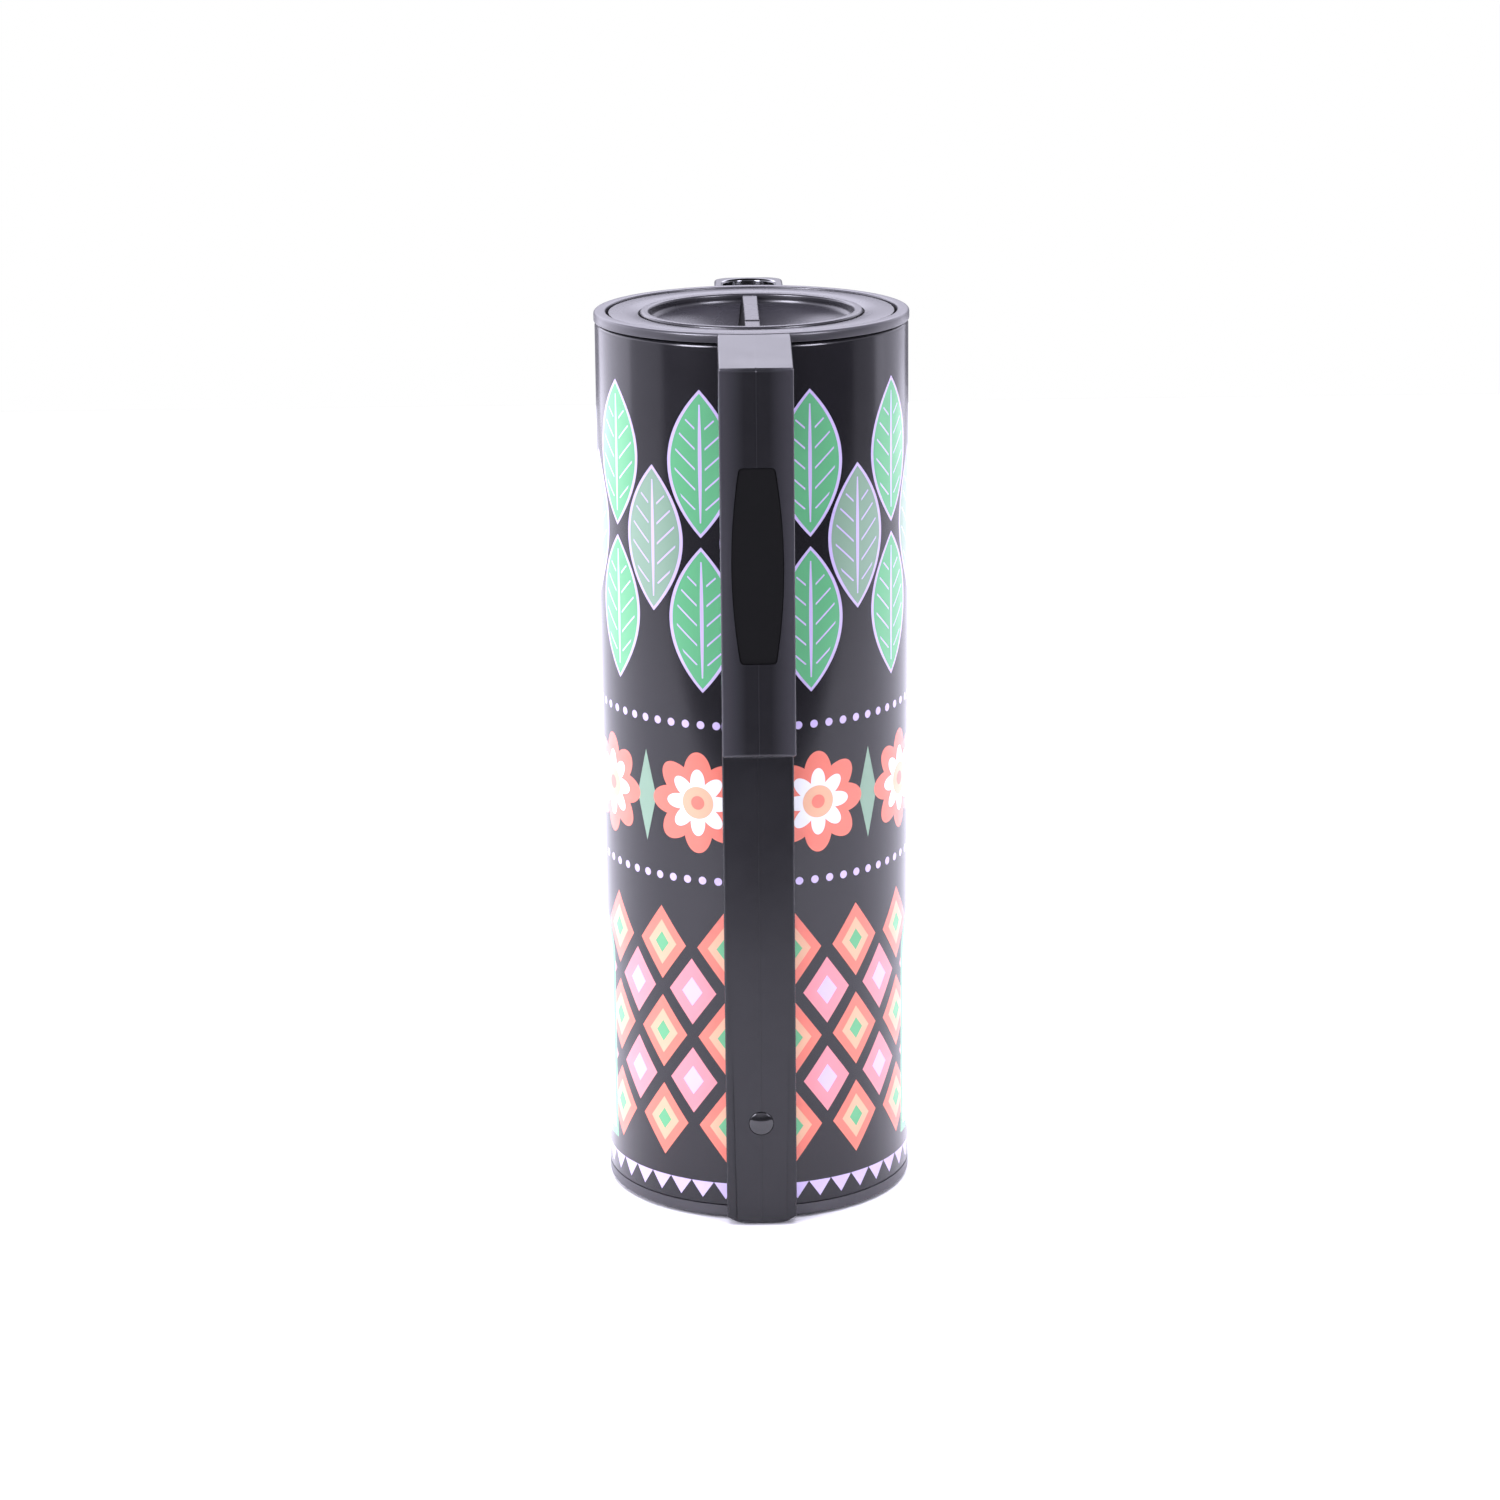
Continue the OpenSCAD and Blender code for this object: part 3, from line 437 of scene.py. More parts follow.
@dataclass(frozen=True)
class Finish:
    """A procedural finish with grain, slow colour change and changing gloss."""

    name: str
    dark: Colour
    light: Colour
    rough: float
    rough_change: float = 0.05
    fine: float = 2400.0
    broad: float = 45.0
    depth: float = 0.006
    specular: float = 0.5
    metallic: float = 0.0
    coat: float = 0.0
    coat_rough: float = 0.04
    transmission: float = 0.0
    subsurface: float = 0.0
    scatter: float = 0.003
    ior: float = 1.5

    def start(self) -> tuple[bpy.types.Material, Graph, bpy.types.Node]:
        """Makes the material with the values that are the same all over it.

        Returns:
            The material, its graph and its shader.
        """
        material = bpy.data.materials.new(self.name)
        material.use_nodes = True
        material.diffuse_color = (*self.light, 1.0)
        graph = Graph(material.node_tree)
        shader = material.node_tree.nodes["Principled BSDF"]
        plain = {"Specular IOR Level": self.specular, "Metallic": self.metallic, "Coat Weight": self.coat,
                 "Transmission Weight": self.transmission, "Subsurface Weight": self.subsurface,
                 "IOR": self.ior}
        for socket, value in plain.items():
            shader.inputs[socket].default_value = value
        if self.coat:
            shader.inputs["Coat Roughness"].default_value = self.coat_rough
        if self.subsurface:
            shader.inputs["Subsurface Scale"].default_value = self.scatter
        return material, graph, shader

    def base(self, graph: Graph, face: dict[str, Term]) -> object:
        """Colour of the surface."""
        return graph.mix(self.dark, self.light, face["Cloud"])

    def gloss(self, graph: Graph, face: dict[str, Term]) -> Term:
        """Roughness of the surface."""
        return graph.spread(face["Cloud"], self.rough - self.rough_change, self.rough + self.rough_change)

    def relief(self, graph: Graph, face: dict[str, Term]) -> object:
        """Normal of the surface."""
        return graph.bump(face["Grain"], self.depth)

    def material(self) -> bpy.types.Material:
        """Gives the material, making it at its first use.

        Returns:
            The material.
        """
        if self.name in bpy.data.materials:
            return bpy.data.materials[self.name]
        material, graph, shader = self.start()
        face = graph.use(Effects.moulded(), Fine=self.fine, Broad=self.broad)
        graph.feed(shader.inputs["Base Color"], self.base(graph, face))
        graph.feed(shader.inputs["Roughness"], self.gloss(graph, face))
        graph.feed(shader.inputs["Normal"], self.relief(graph, face))
        return material


@dataclass(frozen=True)
class HandleFinish(Finish):
    """Satin plastic with a parting line and faint smears, with a painted highlight that makes the grip's
    front paler at its sides and along the parting line.
    """

    line: float = 0.16
    line_soft: float = 0.2
    line_share: float = 0.3
    ridge: float = 0.03
    ridge_soft: float = 0.1
    # Colour of the painted highlight on the grip's sides and parting line
    sheen_colour: Colour = (0.048, 0.047, 0.053)
    sheen_from: float = 9.5
    sheen_run: float = 9.0
    grip_front: float = -112.4
    front_soft: float = 0.6
    smear_size: float = 34.0
    polish: float = 0.03

    def base(self, graph: Graph, face: dict[str, Term]) -> object:
        """Colour, with a painted highlight that makes it paler along the parting line and at the sides of the
        grip.

        Args:
            graph: The material's graph.
            face: Grain and cloud of the moulded face.

        Returns:
            The colour.
        """
        x, y, _ = graph.axes()
        # Painted highlight: paler colour towards the sides of the grip's bowed front and along the parting
        # line, standing in for reflected light
        side_sheen = abs(x).above(self.sheen_from, self.sheen_run)
        seam = abs(x).below(self.line, self.line_soft) * self.line_share
        painted_sheen = (side_sheen | seam) * y.below(self.grip_front, self.front_soft)
        return graph.mix(super().base(graph, face), self.sheen_colour, painted_sheen)

    def gloss(self, graph: Graph, face: dict[str, Term]) -> Term:
        """Roughness, lower where hands have polished it."""
        smear = graph.use(Effects.handled(), Size=self.smear_size)["Smear"]
        return super().gloss(graph, face) - smear * self.polish

    def relief(self, graph: Graph, face: dict[str, Term]) -> object:
        """Grain with the raised parting line over it.

        Args:
            graph: The material's graph.
            face: Grain and cloud of the moulded face.

        Returns:
            The bent normal.
        """
        x, _, _ = graph.axes()
        seam = abs(x).below(self.line, self.ridge_soft)
        return graph.bump(seam, self.ridge, super().relief(graph, face))


@dataclass(frozen=True)
class TurnedFinish(Finish):
    """Metal with turning lines."""

    def gloss(self, graph: Graph, face: dict[str, Term]) -> Term:
        """Roughness, changing along the turning lines."""
        lines = graph.use(Effects.brushed(), Fine=self.fine)["Lines"]
        return graph.spread(lines, self.rough - self.rough_change, self.rough + self.rough_change)


Layer = tuple[Ink, Term]
Bands = tuple[tuple[Ink, float], ...]


@dataclass(frozen=True)
class PrintFinish(Finish):
    """Satin black shell printed with leaves, rosettes, lozenges, arches and a toothed border."""

    tooth_low: float = 9.0
    tooth_high: float = 16.3
    tooth_half: float = 5.1
    teeth: int = 40
    nets: tuple[tuple[float, Bands], ...] = (
        (0.0, ((Ink.CORAL, 0.82), (Ink.APRICOT, 0.5), (Ink.GREEN, 0.24))),
        (0.5, ((Ink.SALMON, 0.74), (Ink.LAVENDER, 0.32))))
    net_columns: int = 14
    net_tall: float = 40.0
    net_low: float = 22.0
    net_high: float = 142.0
    net_soft: float = 0.012
    arches: Bands = ((Ink.GREEN, 24.0), (Ink.WHITE, 20.5), (Ink.CORAL, 15.5), (Ink.APRICOT, 12.0),
                     (Ink.WHITE, 7.0), (Ink.LAVENDER, 4.0))
    arch_rise: float = 104.0
    arch_foot: float = 47.0
    petals: Bands = ((Ink.CORAL, 16.0), (Ink.WHITE, 8.5))
    hearts: Bands = ((Ink.APRICOT, 7.0), (Ink.CORAL, 3.0))
    rosettes: int = 8
    rosette_z: float = 186.0
    rosette_low: float = 150.0
    rosette_high: float = 222.0
    petal_waves: float = 4.0
    petal_depth: float = 6.0
    beads: int = 60
    bead_r: float = 1.7
    bead_off: float = 34.0
    spear_half: float = 5.5
    spear_tall: float = 20.0
    spear_soft: float = 0.03
    leaves: Bands = ((Ink.GREEN, 0.0), (Ink.SAGE, 0.5))
    leaf_columns: int = 9
    leaf_row: float = 66.0
    leaf_low: float = 232.0
    leaf_high: float = 364.0
    leaf_half: float = 15.0
    leaf_length: float = 31.0
    leaf_edge: float = 1.5
    rib_half: float = 0.8
    rib_reach: float = 0.8
    vein_pitch: float = 8.5
    vein_slope: float = 0.9
    vein_half: float = 0.45
    vein_start: float = 2.2
    vein_inset: float = 3.5
    vein_reach: float = 0.62

    def base(self, graph: Graph, face: dict[str, Term]) -> object:
        """Ground colour with the inks laid over it in turn.

        Args:
            graph: The material's graph.
            face: Grain and cloud of the moulded face.

        Returns:
            The colour.
        """
        place = graph.use(Effects.turned())
        u, v = place["Around"], place["Height"]
        colour = super().base(graph, face)
        layers = self.teeth_layers(u, v) + self.lozenge_layers(u, v) + self.panel_layers(u, v)
        layers += self.rosette_layers(u, v) + self.leaf_layers(u, v)
        for ink, mask in layers:
            colour = graph.mix(colour, ink.value, mask)
        return colour

    def teeth_layers(self, u: Term, v: Term) -> list[Layer]:
        """Border of teeth above the base, with their points down.

        Args:
            u: Distance round the shell.
            v: Height.

        Returns:
            Inks with their masks, the lowest first.
        """
        across = abs(u.repeat(GIRTH / self.teeth))
        half = (v - self.tooth_low) * (self.tooth_half / (self.tooth_high - self.tooth_low))
        return [(Ink.LAVENDER, across.below(half) * v.within(self.tooth_low, self.tooth_high))]

    def lozenge_layers(self, u: Term, v: Term) -> list[Layer]:
        """Net of lozenges on the lower part, the second set of them shifted by half a cell.

        Args:
            u: Distance round the shell.
            v: Height.

        Returns:
            Inks with their masks, the lowest first.
        """
        wide, tall = GIRTH / self.net_columns, self.net_tall
        made: list[Layer] = []
        for shift, bands in self.nets:
            zone = v.within(self.net_low + shift * tall, self.net_high - shift * tall)
            x = abs(u.repeat(wide, shift * wide)) * (2.0 / wide)
            y = abs(v.repeat(tall, self.net_low + shift * tall)) * (2.0 / tall)
            made += [(ink, (x + y).below(reach, self.net_soft) * zone) for ink, reach in bands]
        return made

    def panel_layers(self, u: Term, v: Term) -> list[Layer]:
        """Nested arches on the left and right.

        Args:
            u: Distance round the shell.
            v: Height.

        Returns:
            Inks with their masks, the lowest first.
        """
        rise = (v - self.arch_rise).math("MAXIMUM", 0.0)
        far = u.repeat(GIRTH / 2).far(rise)
        return [(ink, far.below(reach) * v.above(self.arch_foot - reach)) for ink, reach in self.arches]

    def rosette_layers(self, u: Term, v: Term) -> list[Layer]:
        """Row of rosettes with spears between them, and a row of beads over and under it.

        Args:
            u: Distance round the shell.
            v: Height.

        Returns:
            Inks with their masks, the lowest first.
        """
        pitch = GIRTH / self.rosettes
        x, y = u.repeat(pitch), v - self.rosette_z
        far = x.far(y)
        waves = abs((y.math("ARCTAN2", x) * self.petal_waves).math("COSINE"))
        petal = far - waves * self.petal_depth
        zone = v.within(self.rosette_low, self.rosette_high)
        bead = u.repeat(GIRTH / self.beads).far(abs(abs(y) - self.bead_off)).below(self.bead_r)
        x_mid = abs(u.repeat(pitch, pitch / 2))
        slope = x_mid * (1.0 / self.spear_half) + abs(y) * (1.0 / self.spear_tall)
        made = [(Ink.SAGE, slope.below(1.0, self.spear_soft) * zone)]
        made += [(ink, petal.below(reach) * zone) for ink, reach in self.petals]
        made += [(ink, far.below(reach) * zone) for ink, reach in self.hearts]
        return made + [(Ink.LAVENDER, bead)]

    def leaf_layers(self, u: Term, v: Term) -> list[Layer]:
        """Upright leaves in staggered rows on the upper part.

        Args:
            u: Distance round the shell.
            v: Height.

        Returns:
            Inks with their masks, the lowest first.
        """
        wide, tall, length = GIRTH / self.leaf_columns, self.leaf_row, self.leaf_length
        made: list[Layer] = []
        for ink, shift in self.leaves:
            zone = v.within(self.leaf_low + shift * tall, self.leaf_high - shift * tall)
            x = abs(u.repeat(wide, shift * wide))
            y = v.repeat(tall, self.leaf_low + shift * tall)
            bow = (y * y) * (-1.0 / (length * length)) + 1.0
            half = bow * self.leaf_half
            rib = x.below(bow * self.rib_half) * abs(y).below(length * self.rib_reach)
            vein = abs((y - x * self.vein_slope).repeat(self.vein_pitch)).below(self.vein_half)
            vein = vein * x.below(half - self.vein_inset) * x.above(self.vein_start)
            vein = vein * abs(y).below(length * self.vein_reach)
            made += [(Ink.LAVENDER, x.below(half) * zone), (ink, x.below(half - self.leaf_edge) * zone),
                     (Ink.LAVENDER, (rib | vein) * zone)]
        return made


class Finishes(Enum):
    """Finishes of the pot's pieces and of the floor."""

    SHELL = PrintFinish("printed_satin", (0.009, 0.0087, 0.0105), (0.012, 0.0117, 0.0138), 0.17, 0.03,
                        depth=0.002, specular=0.42)
    BLACK = Finish("moulded_black", (0.017, 0.0163, 0.019), (0.023, 0.0222, 0.0258), 0.27, 0.04)
    RIM = Finish("rim_black", (0.036, 0.035, 0.039), (0.045, 0.044, 0.049), 0.3, 0.04)
    HANDLE = HandleFinish("handle_satin", (0.011, 0.011, 0.0125), (0.017, 0.017, 0.019), 0.24, 0.04,
                          specular=0.3)
    INLAY = Finish("soft_touch", (0.002, 0.002, 0.0021), (0.003, 0.003, 0.0032), 0.7, specular=0.08)
    CAP = Finish("polished_black", (0.006, 0.006, 0.0065), (0.008, 0.008, 0.009), 0.12, 0.03, depth=0.001,
                 coat=0.4)
    SPOUT = Finish("bright_plate", (0.25, 0.254, 0.262), (0.30, 0.304, 0.312), 0.06, 0.02, depth=0.0008,
                   metallic=1.0)
    # Darker copy of the bright plate for the cup's inside faces: painted shade in the hollow
    SHADED_CUP = Finish("plate_painted_shade", (0.09, 0.091, 0.094), (0.13, 0.131, 0.134), 0.12, 0.03, depth=0.0008,
                 metallic=1.0)
    GLASS = Finish("silvered_glass", (0.80, 0.84, 0.83), (0.88, 0.91, 0.90), 0.07, 0.03, depth=0.001,
                   metallic=1.0, coat=0.6)
    RUBBER = Finish("black_rubber", (0.016, 0.016, 0.017), (0.028, 0.028, 0.03), 0.68, 0.08, fine=1800.0,
                    depth=0.012)
    SILICONE = Finish("milky_silicone", (0.36, 0.33, 0.28), (0.44, 0.41, 0.35), 0.46, 0.06, depth=0.004,
                      subsurface=0.3)
    FOAM = Finish("open_foam", (0.60, 0.57, 0.49), (0.80, 0.77, 0.69), 0.92, fine=700.0, broad=300.0,
                  depth=0.3)
    PUMP = Finish("natural_plastic", (0.38, 0.365, 0.33), (0.45, 0.435, 0.40), 0.42, depth=0.005,
                  subsurface=0.1)
    TUBE = Finish("clear_tube", (0.56, 0.62, 0.64), (0.64, 0.69, 0.70), 0.16, depth=0.002, transmission=0.8,
                  ior=1.45)
    STEEL = TurnedFinish("bright_steel", (0.52, 0.53, 0.55), (0.62, 0.63, 0.65), 0.24, 0.08, depth=0.002,
                         metallic=1.0)
    BRASS = TurnedFinish("turned_brass", (0.62, 0.44, 0.17), (0.74, 0.55, 0.25), 0.28, 0.08, depth=0.002,
                         metallic=1.0)
    FLOOR = Finish("pale_floor", (0.92, 0.92, 0.92), (0.94, 0.94, 0.94), 0.7, 0.03, fine=600.0, broad=3.0,
                   depth=0.01, specular=0.2)


# Meshes


@dataclass(frozen=True)
class Corner:
    """A corner of an outline: its two coordinates and its rounding."""

    a: float
    b: float
    round: float = 0.0
    steps: int = 5


class Plane(Enum):
    """Planes that an outline can be drawn in, by the axes of its two coordinates."""

    XZ = (0, 2)
    YZ = (1, 2)
    XY = (0, 1)


def metres(place: Iterable[float]) -> Place:
    """Turns a place or a way from millimetres into metres."""
    return tuple(value * MM for value in place)


def round_corners(bm: bmesh.types.BMesh, verts: Iterable[bmesh.types.BMVert], size: float,
                  steps: int) -> None:
    """Rounds corners of an outline in its own plane.

    Args:
        bm: Mesh that holds the outline.
        verts: Corners to round.
        size: Radius in millimetres.
        steps: Number of edges across the rounding.
    """
    bmesh.ops.bevel(bm, geom=list(verts), offset=size * MM, offset_type="OFFSET", segments=steps,
                    profile=0.5, affect="VERTICES", material=-1)


def draw(bm: bmesh.types.BMesh, corners: Iterable[Corner], plane: Plane, closed: bool = True,
         level: float = 0.0) -> None:
    """Draws a chain of edges and rounds its corners.

    Args:
        bm: Mesh to draw in.
        corners: Corners in order, in millimetres.
        plane: Plane of the chain.
        closed: Whether the last corner joins the first.
        level: Height of the plane over the origin.
    """
    corners = list(corners)
    first, second = plane.value
    verts = []
    for corner in corners:
        place = [level * MM] * 3
        place[first], place[second] = corner.a * MM, corner.b * MM
        verts.append(bm.verts.new(place))
    ends = verts[1:] + verts[:1] if closed else verts[1:]
    for pair in zip(verts, ends):
        bm.edges.new(pair)
    for vert, corner in zip(verts, corners):
        if corner.round:
            round_corners(bm, [vert], corner.round, corner.steps)


def turn(bm: bmesh.types.BMesh, steps: int) -> None:
    """Spins everything drawn in the XZ plane a full turn about Z and closes it.

    Args:
        bm: Mesh that holds the drawn chain alone.
        steps: Number of steps in the turn.
    """
    bmesh.ops.spin(bm, geom=bm.verts[:] + bm.edges[:], cent=(0, 0, 0), axis=(0, 0, 1), dvec=(0, 0, 0),
                   angle=FULL_TURN, steps=steps, use_merge=True, use_duplicate=False)
    close(bm)


def sweep(bm: bmesh.types.BMesh, step: Place, steps: int, angle: float = 0.0) -> None:
    """Draws a closed chain along a straight line or a coil about Z and caps both its ends.

    Args:
        bm: Mesh that holds the chain alone.
        step: One step, in millimetres.
        steps: Number of steps.
        angle: How far it turns in all, in radians.
    """
    start = bm.edges[:]
    made = bmesh.ops.spin(bm, geom=bm.verts[:] + start, cent=(0, 0, 0), axis=(0, 0, 1), dvec=metres(step),
                          angle=angle, steps=steps, use_merge=False, use_duplicate=False)
    for ring in (start, pick(made["geom_last"], bmesh.types.BMEdge)):
        bmesh.ops.contextual_create(bm, geom=ring)
    close(bm)


def pick(items: Iterable[object], kind: type) -> list[object]:
    """The items of one kind out of what an operator gives back."""
    return [item for item in items if isinstance(item, kind)]


def draw_out(bm: bmesh.types.BMesh, way: Place) -> None:
    """Draws the one face of a mesh out into a slab.

    Args:
        bm: Mesh that holds the face alone.
        way: Where it goes, in millimetres.
    """
    made = bmesh.ops.extrude_face_region(bm, geom=bm.faces[:], use_keep_orig=True)
    bmesh.ops.translate(bm, verts=pick(made["geom"], bmesh.types.BMVert), vec=metres(way))


def slice_at(bm: bmesh.types.BMesh, place: Place, normal: Place,
             clear: bool = False) -> list[bmesh.types.BMEdge]:
    """Cuts a mesh along a plane.

    Args:
        bm: Mesh.
        place: A point of the plane, in millimetres.
        normal: The plane's direction.
        clear: Whether what lies beyond the plane goes.

    Returns:
        The edges along the cut.
    """
    cut = bmesh.ops.bisect_plane(bm, geom=bm.verts[:] + bm.edges[:] + bm.faces[:], dist=TOUCH,
                                 plane_co=metres(place), plane_no=normal, clear_outer=clear)
    return pick(cut["geom_cut"], bmesh.types.BMEdge)


def rod(bm: bmesh.types.BMesh, radius: float, depth: float, place: Matrix, end_radius: float | None = None,
        sides: int = 48) -> None:
    """Adds a closed rod or funnel.

    Args:
        bm: Mesh it is added to.
        radius: Radius at its start.
        depth: Its length.
        place: Where it stands.
        end_radius: Radius at its end, or None where that is the same.
        sides: Number of its sides.
    """
    end = radius if end_radius is None else end_radius
    bmesh.ops.create_cone(bm, cap_ends=True, segments=sides, radius1=radius * MM, radius2=end * MM,
                          depth=depth * MM, matrix=place)


def lay_at(bm: bmesh.types.BMesh, place: Place) -> None:
    """Lays a shape that was drawn along Z down along Y, and moves it to its place."""
    bmesh.ops.rotate(bm, verts=bm.verts, cent=(0, 0, 0), matrix=Matrix.Rotation(QUARTER_TURN, 3, "X"))
    bmesh.ops.translate(bm, verts=bm.verts, vec=metres(place))


def close(bm: bmesh.types.BMesh) -> None:
    """Merges doubles and turns the faces outwards."""
    bmesh.ops.remove_doubles(bm, verts=bm.verts, dist=DOUBLES)
    bmesh.ops.recalc_face_normals(bm, faces=bm.faces)


def soften(bm: bmesh.types.BMesh, edges: Iterable[bmesh.types.BMEdge], size: float, steps: int = 3,
           clamp: bool = True) -> None:
    """Rounds edges of a mesh.

    Args:
        bm: Mesh.
        edges: Edges to round.
        size: Radius in millimetres.
        steps: Number of faces across the rounding.
        clamp: Whether short edges nearby limit the radius.
    """
    bmesh.ops.bevel(bm, geom=list(edges), offset=size * MM, offset_type="OFFSET", segments=steps, profile=0.5,
                    affect="EDGES", clamp_overlap=clamp, material=-1)


def sharp_edges(bm: bmesh.types.BMesh, angle: float,
                keep: Callable[[bmesh.types.BMEdge], bool]) -> list[bmesh.types.BMEdge]:
    """Finds edges where two faces meet at more than an angle.

    Args:
        bm: Mesh.
        angle: The angle, in degrees.
        keep: Test that an edge also has to pass.

    Returns:
        The edges.
    """
    limit = math.radians(angle)
    return [edge for edge in bm.edges
            if len(edge.link_faces) == 2 and edge.calc_face_angle(0.0) > limit and keep(edge)]


def store(bm: bmesh.types.BMesh, mesh: bpy.types.Mesh, angle: float) -> None:
    """Writes a bmesh into a mesh, smooth apart from sharp edges.

    Args:
        bm: Mesh to write, which is freed.
        mesh: Mesh that it replaces.
        angle: Angle in degrees over which an edge stays sharp.
    """
    for face in bm.faces:
        face.smooth = True
    bm.to_mesh(mesh)
    bm.free()
    mesh.set_sharp_from_angle(angle=math.radians(angle))


def settle(bm: bmesh.types.BMesh, name: str, finish: Finishes, angle: float = 40.0) -> bpy.types.Object:
    """Turns a bmesh into an object at the origin.

    Args:
        bm: Mesh, which is freed.
        name: Name of the piece.
        finish: Its finish.
        angle: Angle in degrees over which an edge stays sharp.

    Returns:
        The object.
    """
    mesh = bpy.data.meshes.new(name)
    store(bm, mesh, angle)
    made = bpy.data.objects.new(name, mesh)
    bpy.context.scene.collection.objects.link(made)
    mesh.materials.append(finish.value.material())
    return made


def round_rims(piece: bpy.types.Object, keep: Callable[[bmesh.types.BMEdge], bool], size: float, steps: int,
               angle: float, clamp: bool = True) -> None:
    """Rounds the rims of a carved piece.

    Args:
        piece: The piece.
        keep: Test that tells a rim's edges from others.
        size: Radius in millimetres.
        steps: Number of faces across the rounding.
        angle: Angle in degrees over which an edge stays sharp.
        clamp: Whether short edges nearby limit the radius.
    """
    bm = bmesh.new()
    bm.from_mesh(piece.data)
    bmesh.ops.remove_doubles(bm, verts=bm.verts, dist=TOUCH)
    soften(bm, sharp_edges(bm, RIM_ANGLE, keep), size, steps, clamp)
    store(bm, piece.data, angle)


def even_out(piece: bpy.types.Object) -> None:
    """Keeps large flat faces evenly shaded next to rounded edges."""
    modifier = piece.modifiers.new("even_shading", "WEIGHTED_NORMAL")
    modifier.keep_sharp = True


def carve(piece: bpy.types.Object, cutter: bmesh.types.BMesh) -> None:
    """Cuts a closed mesh out of a piece for good.

    Args:
        piece: Piece that is cut.
        cutter: Mesh that is cut away, which is freed.
    """
    mesh = bpy.data.meshes.new("cutter")
    cutter.to_mesh(mesh)
    cutter.free()
    tool = bpy.data.objects.new("cutter", mesh)
    bpy.context.scene.collection.objects.link(tool)
    modifier = piece.modifiers.new("cut", "BOOLEAN")
    modifier.operation, modifier.solver, modifier.object = "DIFFERENCE", "EXACT", tool
    bpy.context.view_layer.update()
    cut = bpy.data.meshes.new_from_object(piece.evaluated_get(bpy.context.evaluated_depsgraph_get()))
    old, piece.data = piece.data, cut
    cut.name = piece.name
    piece.modifiers.remove(modifier)
    bpy.data.meshes.remove(old)
    bpy.data.objects.remove(tool)
    bpy.data.meshes.remove(mesh)


def join_frame(piece: bpy.types.Object, body: Body, slot: Slot, *nodes: str) -> bpy.types.Object:
    """Lets a piece ride on a body and hides the CAD nodes that it stands for.

    Args:
        piece: The piece.
        body: Body that it rides on.
        slot: Its material slot; not used.
        nodes: Names of the CAD nodes, or none where it is added to them.

    Returns:
        The piece.
    """
    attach(piece, body.value)
    if nodes:
        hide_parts(*nodes)
    return piece


def dress_nodes(finish: Finishes, *nodes: str) -> list[str]:
    """Gives CAD nodes a finish.

    Args:
        finish: The finish.
        nodes: Names of the nodes.

    Returns:
        The nodes' names.
    """
    for name in nodes:
        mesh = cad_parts[name].data
        mesh.materials.clear()
        mesh.materials.append(finish.value.material())
    return list(nodes)


# Sub-assemblies


KEY_PLACE: Place = (-1250.0, -1250.0, 1050.0)
FILL_PLACE: Place = (1250.0, -1250.0, 1050.0)
POT_MIDDLE: Place = (0.0, 0.0, 300.0)


@dataclass(frozen=True)
class SoftBox:
    """A soft light of so many watts, with whether gloss mirrors it and whether it lights matte faces."""

    name: str
    place: Place
    aim: Place
    size: tuple[float, float]
    power: float
    mirrored: bool = True
    lit: bool = True


